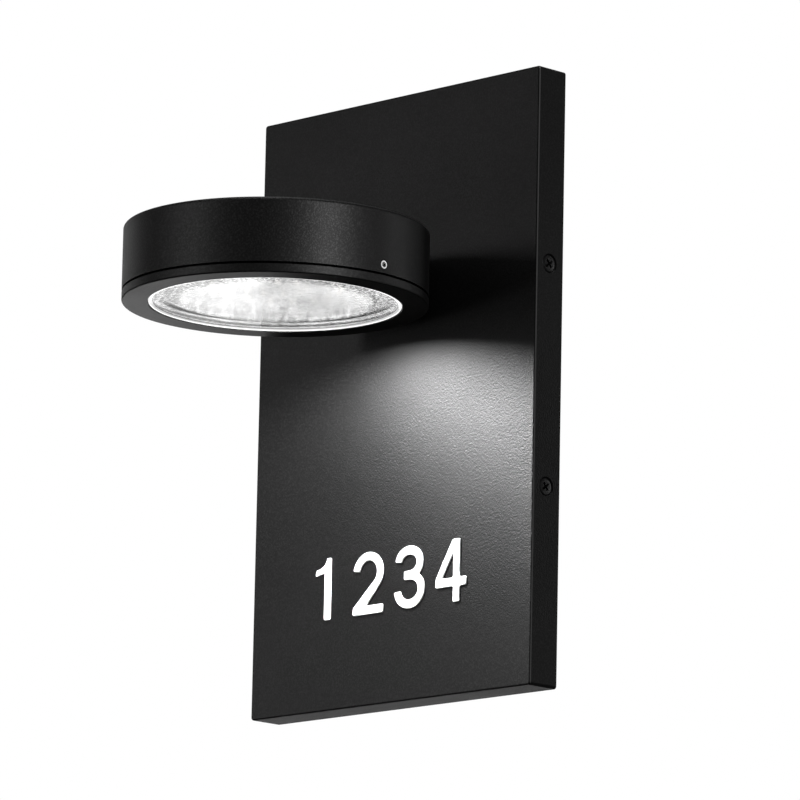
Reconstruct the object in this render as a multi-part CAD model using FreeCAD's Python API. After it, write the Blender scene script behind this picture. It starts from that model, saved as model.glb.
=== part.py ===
import FreeCAD, Part
import math
import os

# Room number wall light: a flat box cover on a wall bracket, with a round lamp
# drum in front of it that shines down on the raised numerals.
# Millimetres. X to the right, Y into the wall, Z up. The origin is the centre of
# the wall bracket, on the wall plane.

Vector = FreeCAD.Vector
UP = Vector(0, 0, 1)
TO_WALL = Vector(0, 1, 0)
TO_ROOM = Vector(0, -1, 0)
TO_RIGHT = Vector(1, 0, 0)

# Clearances, one overrun for all cuts, and shares that hold for every screw
slide_gap = 0.35
seat_gap = 0.1
cut_over = 1.0
same_way_share = 1e-6
screw_lip_share = 0.1

# Cover box
cover_width = 192.0
cover_height = 305.0
cover_depth = 18.5
cover_wall = 3.0
cover_front_radius = 1.0
cover_corner_radius = 1.5
cover_inner_radius = 2.0
cover_rib_width = 2.0
cover_rib_depth = 3.0
cover_pad_border = 8.0
cover_pad_depth = 2.0

# Side screws of the cover
side_screw_radius = 2.5
side_screw_head_radius = 4.8
side_screw_head_depth = 2.4
side_screw_length = 14.0
side_screw_height = 55.0
cross_recess_span = 5.2
cross_recess_width = 1.1
cross_recess_depth = 1.7

# Rubber strip in the rear edge of the cover
strip_width = 2.5
strip_depth = 2.0
strip_rebate = 1.5

# Wall bracket
bracket_sheet = 2.0
bracket_side_step = 16.9
bracket_end_gap = 22.5
bracket_corner_radius = 6.0
strap_height = 34.0
ear_reach = 14.5
ear_bend_radius = 1.5
box_slot_spacing = 79.4
box_slot_length = 14.7
box_slot_radius = 2.6
anchor_inset_x = 15.0
anchor_inset_z = 20.0
anchor_radius = 2.75
rib_press_depth = 1.5
rib_press_width = 8.0
rib_press_length = 70.0
rib_press_offset = 52.0

# Threaded rivet nuts in the bracket's ears
nut_body_radius = 3.5
nut_flange_radius = 5.5
nut_length = 9.0

# Cable bush
bush_bore_radius = 13.0
bush_wall = 2.0
bush_flange_radius = 19.0
bush_flange_depth = 1.6
bush_flange_chamfer = 0.5

# Earth screw and its parts
earth_x = 32.0
earth_z = -26.0
earth_screw_radius = 2.0
earth_head_radius = 3.9
earth_head_depth = 2.2
earth_hub_radius = 4.2
earth_hub_depth = 1.0
washer_radius = 4.6
washer_depth = 0.8
lug_ring_radius = 4.0
lug_sheet = 0.8
lug_neck_width = 3.4
lug_neck_length = 6.5
lug_barrel_radius = 2.0
lug_barrel_length = 5.5

# Terminal block
block_width = 30.0
block_height = 17.0
block_base_depth = 3.0
block_tower_depth = 9.6
block_tower_width = 8.0
block_pole_pitch = 10.0
block_z = -52.0
block_edge_radius = 0.8
well_radius = 1.65
wire_way_radius = 1.9
clamp_radius = 1.8
clamp_bore_radius = 1.25
clamp_length = 14.0
clamp_depth = 5.4
clamp_screw_radius = 1.4
clamp_screw_depth = 2.6
clamp_screw_spacing = 8.0
block_screw_radius = 1.25
block_screw_head_radius = 2.3
block_screw_head_depth = 1.4
flat_slot_width = 0.6
flat_slot_depth = 0.6

# Drum, housing and neck
drum_diameter = 149.0
drum_wall = 4.0
drum_top_height = 69.0
drum_top_radius = 1.5
drum_inner_radius = 2.5
drum_rear_gap = 7.9
seam_gap = 1.2
skirt_chamfer = 0.8
neck_width = 44.0
neck_height = 25.0
neck_drop = 14.5
neck_edge_radius = 4.0
neck_root_share = 0.9
neck_screw_radius = 2.5
neck_screw_head_radius = 4.4
neck_screw_head_depth = 2.8
neck_screw_length = 12.0
neck_screw_spacing_x = 30.0
neck_screw_spacing_z = 15.0
neck_thread_spare = 1.0
neck_gasket_depth = 1.0
neck_gasket_inset = 0.6
wire_hole_radius = 4.5
wire_hole_rise = 3.2
housing_boss_radius = 4.5
housing_boss_inset = 8.4
housing_boss_first_angle = 30.0
housing_rib_count = 12
housing_rib_width = 2.0
housing_rib_depth = 5.0
housing_rib_length = 24.4
housing_rib_first_angle = 15.0

# Grub screws that hold the bezel ring
grub_radius = 2.4
grub_rise = 4.2
grub_sunk = 0.2
grub_key_across = 2.5
grub_key_depth = 2.0
grub_angles = (0.0, 180.0)

# Bezel ring
bezel_band_depth = 4.2
bezel_edge_radius = 0.8
bezel_face_width = 12.5
spigot_wall = 2.2
spigot_height = 9.7
spigot_top_chamfer = 0.6

# Seal in the seam
seal_width = 2.9
seal_depth = 0.85

# Glass lens with its gasket and snap ring
lens_fit_gap = 0.4
lens_recess = 1.0
lens_gasket_depth = 1.0
lens_gasket_inset = 0.3
lens_flange_depth = 3.0
lens_flange_gap = 1.05
lens_rim_width = 11.8
lens_dish_depth = 1.7
lens_dish_slope = 2.2
lens_bottom_round = 0.8
snap_ring_width = 4.6
snap_ring_depth = 1.2
snap_ring_groove = 0.8
snap_ring_gap_angle = 24.0
snap_ring_lug_radius = 3.2
snap_ring_lug_hole = 1.1

# Light engine
carrier_gap = 0.8
carrier_depth = 2.5
carrier_screw_radius = 2.0
carrier_screw_head_radius = 3.6
carrier_screw_head_depth = 2.1
carrier_screw_length = 8.0
carrier_wire_hole_radius = 3.0
carrier_wire_hole_gap = 14.0
board_edge_gap = 4.0
board_depth = 1.6
led_ring_counts = (18, 9)
led_ring_shares = (0.6, 0.28)
led_size = 3.5
led_base_depth = 0.8
led_dome_radius = 1.6
led_dome_depth = 1.2
reflector_sheet = 1.0
reflector_rim_gap = 1.2
reflector_rim_width = 6.2
reflector_rim_depth = 5.0
reflector_lens_gap = 1.7
reflector_window_radius = 3.2
board_screw_radius = 1.5
board_screw_head_radius = 2.8
board_screw_head_depth = 1.6
board_screw_inset = 9.5
board_screw_first_angle = 10.0

# Driver
driver_length = 72.0
driver_width = 34.0
driver_height = 11.0
driver_head_gap = 1.9
driver_edge_radius = 2.0
driver_tab_length = 8.0
driver_tab_depth = 2.0
driver_tab_hole_radius = 1.8
driver_screw_radius = 1.5
driver_screw_head_radius = 2.8
driver_screw_head_depth = 1.7
driver_screw_length = 4.0

# Leads
lead_radius = 2.5
lead_exit_x = 20.0
lead_slack_bend = 16.0
lead_drop_bend = 7.4
lead_end_z = -24.0
core_radius = 1.1
core_bend = 7.0
core_spread_z = -31.0
earth_core_bend = 5.0
grommet_flange_radius = 5.3
grommet_flange_depth = 1.2
grommet_length = 10.0
board_lead_radius = 1.4
board_lead_bend = 3.6

# Sizes that follow from those above
half_width = cover_width / 2
half_height = cover_height / 2
cover_inner_half_width = half_width - cover_wall
cover_front_y = -cover_depth
cover_panel_inner_y = cover_front_y + cover_wall
side_screw_y = -cover_depth / 2
ear_outer_x = cover_inner_half_width - strip_width + strip_rebate - seat_gap
bracket_half_width = ear_outer_x - bracket_side_step
bracket_half_height = half_height - bracket_end_gap
anchor_x = bracket_half_width - anchor_inset_x
anchor_z = bracket_half_height - anchor_inset_z
drum_radius = drum_diameter / 2
drum_offset = drum_radius + drum_rear_gap
drum_axis_y = cover_front_y - drum_offset
drum_inner_wall = drum_radius - drum_wall
neck_z = drum_top_height - neck_drop
wire_hole_z = neck_z + wire_hole_rise
housing_ceiling = drum_top_height - drum_wall
carrier_top_height = housing_ceiling - driver_head_gap - driver_height
carrier_bottom_height = carrier_top_height - carrier_depth
board_bottom_height = carrier_bottom_height - board_depth
reflector_bottom_height = board_bottom_height - reflector_sheet
reflector_rim_height = reflector_bottom_height - reflector_rim_depth
lens_flange_top = reflector_rim_height - reflector_lens_gap
lens_flange_bottom = lens_flange_top - lens_flange_depth
bezel_top_height = lens_flange_bottom - lens_gasket_depth
bezel_bottom_height = bezel_top_height - bezel_band_depth
housing_bottom_height = bezel_top_height + seam_gap
grub_height = housing_bottom_height + grub_rise
spigot_outer = drum_inner_wall - slide_gap
spigot_inner = spigot_outer - spigot_wall
spigot_top = bezel_top_height + spigot_height
opening_radius = drum_radius - bezel_face_width
lens_bottom = bezel_bottom_height + lens_recess
lens_flange_radius = spigot_inner - lens_flange_gap
lens_dish_radius = lens_flange_radius - lens_rim_width
snap_ring_outer = spigot_inner + snap_ring_groove - seat_gap
snap_ring_inner = snap_ring_outer - snap_ring_width
reflector_rim_radius = opening_radius + reflector_rim_gap
reflector_flat_radius = reflector_rim_radius - reflector_rim_width
carrier_radius = drum_inner_wall - carrier_gap
carrier_wire_hole_x = -driver_length / 2 - carrier_wire_hole_gap
board_radius = reflector_flat_radius - board_edge_gap
board_screw_circle = board_radius - board_screw_inset
board_screw_length = carrier_top_height - reflector_bottom_height
housing_boss_circle = drum_inner_wall - housing_boss_inset
neck_face_y = cover_front_y - neck_gasket_depth


def box_between(low, high):
    """A block between two opposite corners."""
    return Part.makeBox(high[0] - low[0], high[1] - low[1], high[2] - low[2], Vector(*low))


def rod(radius, start, direction, length):
    """A round bar from a place along a direction."""
    return Part.makeCylinder(radius, length, start, direction)


def fused(shapes):
    """One clean solid out of several that touch."""
    shapes = list(shapes)
    return shapes[0].fuse(shapes[1:]).removeSplitter()


def drum_place(radius, angle, height):
    """A place in the drum, by its distance and angle round the drum's axis."""
    turn = math.radians(angle)
    return Vector(radius * math.cos(turn), drum_axis_y + radius * math.sin(turn), height)


def turned_on_drum(outline):
    """A ring or dish turned round the drum's axis from (radius, height) points."""
    corners = [Vector(radius, drum_axis_y, height) for radius, height in outline]
    face = Part.Face(Part.makePolygon(corners + corners[:1]))
    return face.revolve(Vector(0, drum_axis_y, 0), UP, 360)


def turned_upright(outline):
    """A body turned round the Z axis from (radius, height) points."""
    corners = [Vector(radius, 0, height) for radius, height in outline]
    face = Part.Face(Part.makePolygon(corners + corners[:1]))
    return face.revolve(Vector(0, 0, 0), UP, 360)


def aimed(shape, place, direction):
    """The shape moved to a place, with its Z axis turned to a direction."""
    moved = shape.copy()
    moved.Placement = FreeCAD.Placement(place, FreeCAD.Rotation(UP, direction)) * shape.Placement
    return moved


def circle_edges(shape, radius, height):
    """The level circles of one radius at one height on a turned body."""
    found = []
    for edge in shape.Edges:
        curve = edge.Curve
        if not isinstance(curve, Part.Circle):
            continue
        if abs(curve.Radius - radius) < seat_gap and abs(curve.Center.z - height) < seat_gap:
            found.append(edge)
    return found


def edges_along(shape, axis, limits=None):
    """The straight edges that run along one axis, inside the limits where given."""
    found = []
    for edge in shape.Edges:
        if not isinstance(edge.Curve, Part.Line):
            continue
        first, last = edge.Vertexes[0].Point, edge.Vertexes[-1].Point
        if (last - first).normalize().cross(axis).Length > same_way_share:
            continue
        if limits is None or limits(edge.CenterOfMass):
            found.append(edge)
    return found


def route_wire(places, bends):
    """Straight runs through the places, joined by arcs of the given bends."""
    edges = []
    start = places[0]
    for before, corner, after, bend in zip(places, places[1:], places[2:], bends):
        coming = (corner - before).normalize()
        going = (after - corner).normalize()
        half_turn = coming.getAngle(going) / 2
        reach = bend * math.tan(half_turn)
        inward = (going - coming).normalize()
        centre = corner + inward * (bend / math.cos(half_turn))
        entry = corner - coming * reach
        leave = corner + going * reach
        edges.append(Part.LineSegment(start, entry).toShape())
        edges.append(Part.Arc(entry, centre - inward * bend, leave).toShape())
        start = leave
    edges.append(Part.LineSegment(start, places[-1]).toShape())
    return Part.Wire(edges)


def lead_along(name, places, bends, radius):
    """A round lead swept along its route. Prints its bends, length and volume share."""
    spine = route_wire(places, bends)
    heading = (places[1] - places[0]).normalize()
    section = Part.Wire(Part.Circle(places[0], heading, radius).toShape())
    lead = spine.makePipeShell([section], True, False)
    share = lead.Volume / (math.pi * radius * radius * spine.Length)
    print(name, "bends", bends, "length", round(spine.Length, 1), "volume share", round(share, 4))
    return lead


def cross_recess(span, width, depth):
    """The cross cut for the screwdriver, going down from the top of a head."""
    arm = box_between((-span / 2, -width / 2, -depth), (span / 2, width / 2, cut_over))
    return arm.fuse(arm.rotated(Vector(0, 0, 0), UP, 90))


def straight_slot(span):
    """The single cut for a flat screwdriver, going down from the top of a head."""
    return box_between(
        (-span, -flat_slot_width / 2, -flat_slot_depth),
        (span, flat_slot_width / 2, cut_over),
    )


def countersunk_screw(radius, head_radius, head_depth, length):
    """A flat countersunk screw, head up, with the head's top at the origin."""
    lip = (head_radius - radius) * screw_lip_share
    body = turned_upright([
        (0, 0), (head_radius, 0), (head_radius, -lip), (radius, -head_depth),
        (radius, -length), (0, -length),
    ])
    return body.cut(cross_recess(cross_recess_span, cross_recess_width, cross_recess_depth))


def pan_screw(radius, head_radius, head_depth, length):
    """A domed screw, head up, seated at the origin."""
    return turned_upright([
        (0, head_depth), (head_radius - head_depth / 2, head_depth),
        (head_radius, head_depth / 2), (head_radius, 0), (radius, 0),
        (radius, -length), (0, -length),
    ])


def hex_prism(across, depth):
    """A six-sided key socket going down from the origin."""
    reach = across / math.sqrt(3)
    corners = []
    for step in range(6):
        turn = math.radians(60 * step)
        corners.append(Vector(reach * math.cos(turn), reach * math.sin(turn), cut_over))
    face = Part.Face(Part.makePolygon(corners + corners[:1]))
    return face.extrude(Vector(0, 0, -depth - cut_over))


def side_screw_places():
    """Where the four side screws enter, each with the way its head faces."""
    places = []
    for side in (-1, 1):
        for level in (-1, 1):
            place = Vector(side * half_width, side_screw_y, level * side_screw_height)
            places.append((place, Vector(side, 0, 0)))
    return places


def neck_screw_places(y):
    """The four corners of the neck's screw pattern at one depth."""
    places = []
    for side in (-1, 1):
        for level in (-1, 1):
            x = side * neck_screw_spacing_x / 2
            z = neck_z + level * neck_screw_spacing_z / 2
            places.append(Vector(x, y, z))
    return places


def carrier_screw_places(height):
    """Three places on the carrier's screw circle."""
    return [drum_place(housing_boss_circle, housing_boss_first_angle + 120 * step, height)
            for step in range(3)]


def board_screw_places(height):
    """Three places on the board's screw circle."""
    return [drum_place(board_screw_circle, board_screw_first_angle + 120 * step, height)
            for step in range(3)]


def led_places(height):
    """Every LED's place, ring by ring."""
    places = []
    for count, share in zip(led_ring_counts, led_ring_shares):
        for step in range(count):
            places.append(drum_place(board_radius * share, 360 * step / count, height))
    return places


def make_cover_box():
    """The cast box: front panel and four walls, open to the wall."""
    body = box_between((-half_width, cover_front_y, -half_height), (half_width, 0, half_height))
    body = body.makeFillet(cover_corner_radius, edges_along(body, TO_WALL))
    front = [edge for edge in body.Edges
             if abs(edge.BoundBox.YMin - cover_front_y) < seat_gap
             and abs(edge.BoundBox.YMax - cover_front_y) < seat_gap]
    body = body.makeFillet(cover_front_radius, front)
    hollow = box_between(
        (-half_width + cover_wall, cover_panel_inner_y, -half_height + cover_wall),
        (half_width - cover_wall, cut_over, half_height - cover_wall),
    )
    hollow = hollow.makeFillet(cover_inner_radius, edges_along(hollow, TO_WALL))
    body = body.cut(hollow)
    body = body.fuse(cover_ribs()).removeSplitter()
    edge_cut = strip_rebate + seat_gap
    rebate = box_between(
        (-half_width + edge_cut, -strip_depth - seat_gap, -half_height + edge_cut),
        (half_width - edge_cut, cut_over, half_height - edge_cut),
    )
    body = body.cut(rebate)
    for place, outward in side_screw_places():
        body = body.cut(aimed(side_screw_hole(), place, outward))
    for place in neck_screw_places(cover_front_y):
        start = place + TO_ROOM * cut_over
        body = body.cut(rod(neck_screw_radius + seat_gap, start, TO_WALL, cover_depth))
    way = Vector(0, cover_front_y - cut_over, wire_hole_z)
    return body.cut(rod(wire_hole_radius, way, TO_WALL, cover_depth))


def cover_ribs():
    """Stiffening ribs and the thick pad behind the neck, inside the front panel."""
    back = cover_panel_inner_y + cover_rib_depth
    start = cover_panel_inner_y - cover_wall / 2
    reach_x = half_width - cover_wall / 2
    reach_z = half_height - cover_wall / 2
    pad_x = neck_width / 2 + cover_pad_border
    pad_z = neck_height / 2 + cover_pad_border
    shapes = [box_between(
        (-pad_x, start, neck_z - pad_z),
        (pad_x, cover_panel_inner_y + cover_pad_depth, neck_z + pad_z),
    )]
    for side in (-1, 1):
        x = side * pad_x
        shapes.append(box_between(
            (x - cover_rib_width / 2, start, -reach_z), (x + cover_rib_width / 2, back, reach_z)))
        z = neck_z + side * pad_z
        shapes.append(box_between(
            (-reach_x, start, z - cover_rib_width / 2), (reach_x, back, z + cover_rib_width / 2)))
    return fused(shapes)


def side_screw_hole():
    """The countersunk hole of a side screw, down from the origin."""
    wide = side_screw_head_radius + seat_gap
    narrow = side_screw_radius + seat_gap
    lip = (side_screw_head_radius - side_screw_radius) * screw_lip_share
    return turned_upright([
        (0, cut_over), (wide, cut_over), (wide, -lip), (narrow, -side_screw_head_depth),
        (narrow, -cover_wall - cut_over), (0, -cover_wall - cut_over),
    ])


def make_cover_screws():
    """Four black countersunk screws in the cover's sides."""
    screw = countersunk_screw(
        side_screw_radius, side_screw_head_radius, side_screw_head_depth, side_screw_length)
    return [aimed(screw, place, outward) for place, outward in side_screw_places()]


def make_wall_strip():
    """The rubber strip that closes the cover's rear edge against the wall."""
    outer_x = half_width - strip_rebate - seat_gap
    outer_z = half_height - strip_rebate - seat_gap
    outer = box_between((-outer_x, -strip_depth, -outer_z), (outer_x, 0, outer_z))
    inner = box_between(
        (-outer_x + strip_width, -strip_depth - cut_over, -outer_z + strip_width),
        (outer_x - strip_width, cut_over, outer_z - strip_width),
    )
    return outer.cut(inner)


def bracket_sheet_outline():
    """The flat of the bracket: a tall plate with two straps across it."""
    plate = box_between(
        (-bracket_half_width, -bracket_sheet, -bracket_half_height),
        (bracket_half_width, 0, bracket_half_height),
    )
    plate = plate.makeFillet(bracket_corner_radius, edges_along(plate, TO_WALL))
    shapes = [plate]
    for level in (-1, 1):
        z = level * side_screw_height
        shapes.append(box_between(
            (-ear_outer_x, -bracket_sheet, z - strap_height / 2),
            (ear_outer_x, 0, z + strap_height / 2),
        ))
    return fused(shapes)


def bracket_ear(side, level):
    """One ear bent forward from a strap's end."""
    z = level * side_screw_height
    xs = sorted((side * ear_outer_x, side * (ear_outer_x - bracket_sheet)))
    return box_between(
        (xs[0], -ear_reach, z - strap_height / 2), (xs[1], 0, z + strap_height / 2))


def pressed_rib(side):
    """A long raised rib pressed out of the plate, as a rounded bar."""
    x = side * rib_press_offset
    half_length = rib_press_length / 2
    low = (x - rib_press_width / 2, -bracket_sheet - rib_press_depth, -half_length)
    high = (x + rib_press_width / 2, -bracket_sheet / 2, half_length)
    bar = box_between(low, high)
    bar = bar.makeFillet(rib_press_width / 2 - seat_gap, edges_along(bar, TO_WALL))
    return bar


def make_mounting_bracket():
    """The steel wall bracket with its ears, slots and holes."""
    body = bracket_sheet_outline()
    for side in (-1, 1):
        for level in (-1, 1):
            body = body.fuse(bracket_ear(side, level))
    body = body.removeSplitter()
    bends = edges_along(body, UP, lambda at: abs(at.y) < seat_gap
                        and abs(at.x) > ear_outer_x - seat_gap)
    body = body.makeFillet(bracket_sheet + ear_bend_radius, bends)
    inner = edges_along(body, UP, lambda at: abs(at.y + bracket_sheet) < seat_gap
                        and abs(abs(at.x) - ear_outer_x + bracket_sheet) < seat_gap)
    body = body.makeFillet(ear_bend_radius, inner)
    tips = edges_along(body, TO_RIGHT, lambda at: abs(at.y + ear_reach) < seat_gap)
    body = body.makeFillet(bracket_corner_radius, tips)
    for side in (-1, 1):
        body = body.fuse(pressed_rib(side))
    body = body.removeSplitter()
    for place, outward in side_screw_places():
        hole = rod(nut_body_radius + seat_gap, place, -outward, cover_wall + nut_length)
        body = body.cut(hole)
    for side in (-1, 1):
        body = body.cut(wall_slot(side * box_slot_spacing / 2))
        for level in (-1, 1):
            place = Vector(side * anchor_x, cut_over, level * anchor_z)
            body = body.cut(rod(anchor_radius, place, TO_ROOM, ear_reach))
    centre = Vector(0, cut_over, 0)
    bush_hole = bush_bore_radius + bush_wall + seat_gap
    body = body.cut(rod(bush_hole, centre, TO_ROOM, ear_reach))
    hub_start = Vector(earth_x, -bracket_sheet, earth_z)
    body = body.fuse(rod(earth_hub_radius, hub_start, TO_ROOM, earth_hub_depth)).removeSplitter()
    screw_start = Vector(earth_x, cut_over, earth_z)
    body = body.cut(rod(earth_screw_radius + seat_gap, screw_start, TO_ROOM, ear_reach))
    for place in block_screw_places(cut_over):
        body = body.cut(rod(block_screw_radius + seat_gap, place, TO_ROOM, ear_reach))
    return body


def wall_slot(x):
    """One slot for a wall box screw, long way along X."""
    reach = box_slot_length / 2 - box_slot_radius
    far = -bracket_sheet - rib_press_depth - cut_over
    bar = box_between((x - reach, far, -box_slot_radius), (x + reach, cut_over, box_slot_radius))
    ends = []
    for side in (-1, 1):
        place = Vector(x + side * reach, cut_over, 0)
        ends.append(rod(box_slot_radius, place, TO_ROOM, cut_over - far))
    return bar.fuse(ends).removeSplitter()


def make_rivet_nuts():
    """Four threaded rivet nuts, one in each ear."""
    nuts = []
    flange_depth = cover_inner_half_width - ear_outer_x - slide_gap
    bore = side_screw_radius + seat_gap
    profile = [
        (bore, flange_depth), (nut_flange_radius, flange_depth), (nut_flange_radius, 0),
        (nut_body_radius, 0), (nut_body_radius, -nut_length), (bore, -nut_length),
    ]
    nut = turned_upright(profile)
    for place, outward in side_screw_places():
        seat = Vector(outward.x * ear_outer_x, place.y, place.z)
        nuts.append(aimed(nut, seat, outward))
    return nuts


def make_cable_bush():
    """The plastic bush that lines the bracket's cable hole."""
    sleeve = bush_bore_radius + bush_wall
    front = bracket_sheet + bush_flange_depth
    body = turned_upright([
        (bush_bore_radius, 0), (sleeve, 0), (sleeve, bracket_sheet),
        (bush_flange_radius, bracket_sheet), (bush_flange_radius, front - bush_flange_chamfer),
        (bush_flange_radius - bush_flange_chamfer, front), (bush_bore_radius, front),
    ])
    return aimed(body, Vector(0, 0, 0), TO_ROOM)


def make_earth_washer():
    """The plain washer between the earth hub and the ring lug."""
    seat = Vector(earth_x, -bracket_sheet - earth_hub_depth, earth_z)
    ring = rod(washer_radius, seat, TO_ROOM, washer_depth)
    return ring.cut(rod(earth_screw_radius + seat_gap, seat, TO_ROOM, washer_depth))


def make_earth_lug():
    """The crimped ring lug on the earth lead."""
    y = -bracket_sheet - earth_hub_depth - washer_depth
    seat = Vector(earth_x, y, earth_z)
    ring = rod(lug_ring_radius, seat, TO_ROOM, lug_sheet)
    neck_end = earth_x - lug_ring_radius - lug_neck_length
    neck = box_between(
        (neck_end, y - lug_sheet, earth_z - lug_neck_width / 2),
        (earth_x - lug_ring_radius / 2, y, earth_z + lug_neck_width / 2),
    )
    barrel_y = y - lug_barrel_radius
    barrel_start = Vector(neck_end, barrel_y, earth_z)
    barrel = rod(lug_barrel_radius, barrel_start, TO_RIGHT, lug_barrel_length)
    body = fused([ring, neck, barrel])
    body = body.cut(rod(earth_screw_radius + seat_gap, seat, TO_ROOM, lug_sheet))
    return body.cut(rod(core_radius, barrel_start, TO_RIGHT, lug_barrel_length))


def make_earth_screw():
    """The earth screw through lug, washer and bracket."""
    y = -bracket_sheet - earth_hub_depth - washer_depth - lug_sheet
    screw = pan_screw(earth_screw_radius, earth_head_radius, earth_head_depth, -y)
    return aimed(screw, Vector(earth_x, y, earth_z), TO_ROOM)


def pole_xs():
    """The X places of the three poles of the terminal block."""
    return [(step - 1) * block_pole_pitch for step in range(3)]


def block_screw_places(y):
    """The two fixing screws of the terminal block, between its poles."""
    return [Vector(side * block_pole_pitch / 2, y, block_z) for side in (-1, 1)]


def make_terminal_block():
    """The three-pole terminal block: a base with a tower for each pole."""
    base_y = -bracket_sheet
    low_z = block_z - block_height / 2
    high_z = block_z + block_height / 2
    base = box_between(
        (-block_width / 2, base_y - block_base_depth, low_z), (block_width / 2, base_y, high_z))
    shapes = [base]
    for x in pole_xs():
        tower = box_between(
            (x - block_tower_width / 2, base_y - block_tower_depth, low_z),
            (x + block_tower_width / 2, base_y, high_z),
        )
        shapes.append(tower.makeFillet(block_edge_radius, edges_along(
            tower, UP, lambda at: at.y < base_y - block_base_depth)))
    body = fused(shapes)
    for x in pole_xs():
        way = Vector(x, base_y - clamp_depth, low_z - cut_over)
        body = body.cut(rod(wire_way_radius, way, UP, block_height + 2 * cut_over))
        for side in (-1, 1):
            well = Vector(x, base_y - clamp_depth, block_z + side * clamp_screw_spacing / 2)
            body = body.cut(rod(well_radius, well, TO_ROOM, block_tower_depth))
    for place in block_screw_places(0):
        body = body.cut(rod(block_screw_radius + seat_gap, place, TO_ROOM, block_tower_depth))
        head = place + TO_ROOM * (bracket_sheet + block_base_depth)
        body = body.cut(rod(block_screw_head_radius, head, TO_ROOM, block_tower_depth))
    return body


def make_terminal_clamps():
    """A brass clamp tube for each pole."""
    clamps = []
    for x in pole_xs():
        start = Vector(x, -bracket_sheet - clamp_depth, block_z - clamp_length / 2)
        tube = rod(clamp_radius, start, UP, clamp_length)
        clamps.append(tube.cut(rod(clamp_bore_radius, start, UP, clamp_length)))
    return clamps


def make_clamp_screws():
    """Two small slotted screws over each clamp tube."""
    screws = []
    seat_y = -bracket_sheet - clamp_depth - clamp_radius
    screw = rod(clamp_screw_radius, Vector(0, 0, 0), UP, clamp_screw_depth)
    screw = screw.cut(straight_slot(clamp_screw_radius).translated(Vector(0, 0, clamp_screw_depth)))
    for x in pole_xs():
        for side in (-1, 1):
            place = Vector(x, seat_y, block_z + side * clamp_screw_spacing / 2)
            screws.append(aimed(screw, place, TO_ROOM))
    return screws


def make_block_screws():
    """The two screws that hold the terminal block to the bracket."""
    seat = -bracket_sheet - block_base_depth
    head_radius = block_screw_head_radius - seat_gap
    screw = pan_screw(block_screw_radius, head_radius, block_screw_head_depth, -seat)
    return [aimed(screw, place, TO_ROOM) for place in block_screw_places(seat)]


def make_lamp_housing():
    """The cast drum: closed top, deep skirt, rear neck, inner bosses and ribs."""
    body = turned_on_drum([
        (0, housing_bottom_height), (drum_radius, housing_bottom_height),
        (drum_radius, drum_top_height), (0, drum_top_height),
    ])
    body = body.makeFillet(drum_top_radius, circle_edges(body, drum_radius, drum_top_height))
    neck = neck_block()
    body = body.fuse(neck).removeSplitter()
    hollow = turned_on_drum([
        (0, housing_bottom_height - cut_over), (drum_inner_wall, housing_bottom_height - cut_over),
        (drum_inner_wall, housing_ceiling), (0, housing_ceiling),
    ])
    hollow = hollow.makeFillet(
        drum_inner_radius, circle_edges(hollow, drum_inner_wall, housing_ceiling))
    body = body.cut(hollow)
    mouth = circle_edges(body, drum_inner_wall, housing_bottom_height)
    body = body.makeChamfer(skirt_chamfer, mouth)
    body = fused([body] + housing_bosses() + housing_ribs())
    for place in carrier_screw_places(carrier_top_height - cut_over):
        depth = carrier_screw_length
        body = body.cut(rod(carrier_screw_radius + seat_gap, place, UP, depth))
    for angle in grub_angles:
        start = drum_place(drum_inner_wall - cut_over, angle, grub_height)
        outward = drum_place(1, angle, 0) - drum_place(0, angle, 0)
        body = body.cut(rod(grub_radius + seat_gap / 2, start, outward, drum_wall + 2 * cut_over))
    thread_depth = neck_screw_length - cover_wall - cover_pad_depth - neck_gasket_depth
    for place in neck_screw_places(neck_face_y):
        start = place + TO_WALL * cut_over
        depth = thread_depth + neck_thread_spare + cut_over
        body = body.cut(rod(neck_screw_radius + seat_gap, start, TO_ROOM, depth))
    wire_start = Vector(0, neck_face_y + cut_over, wire_hole_z)
    wire_depth = drum_offset - drum_inner_wall + drum_wall
    return body.cut(rod(wire_hole_radius, wire_start, TO_ROOM, wire_depth))


def neck_block():
    """The short neck from the drum to the cover, with rounded long edges."""
    root_y = drum_axis_y + drum_inner_wall * neck_root_share
    neck = box_between(
        (-neck_width / 2, root_y, neck_z - neck_height / 2),
        (neck_width / 2, neck_face_y, neck_z + neck_height / 2),
    )
    return neck.makeFillet(neck_edge_radius, edges_along(neck, TO_WALL))


def housing_bosses():
    """Three screw bosses that hang from the drum's ceiling."""
    length = housing_ceiling + drum_wall / 2 - carrier_top_height
    return [rod(housing_boss_radius, place, UP, length)
            for place in carrier_screw_places(carrier_top_height)]


def housing_ribs():
    """Cooling ribs under the ceiling, between the driver and the drum's wall."""
    ribs = []
    overlap = drum_wall / 2
    inner = drum_inner_wall - housing_rib_length
    for step in range(housing_rib_count):
        angle = housing_rib_first_angle + 360 * step / housing_rib_count
        rib = box_between(
            (inner, -housing_rib_width / 2, housing_ceiling - housing_rib_depth),
            (drum_inner_wall + overlap, housing_rib_width / 2, housing_ceiling + overlap),
        )
        rib = rib.rotated(Vector(0, 0, 0), UP, angle)
        ribs.append(rib.translated(Vector(0, drum_axis_y, 0)))
    return ribs


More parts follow.
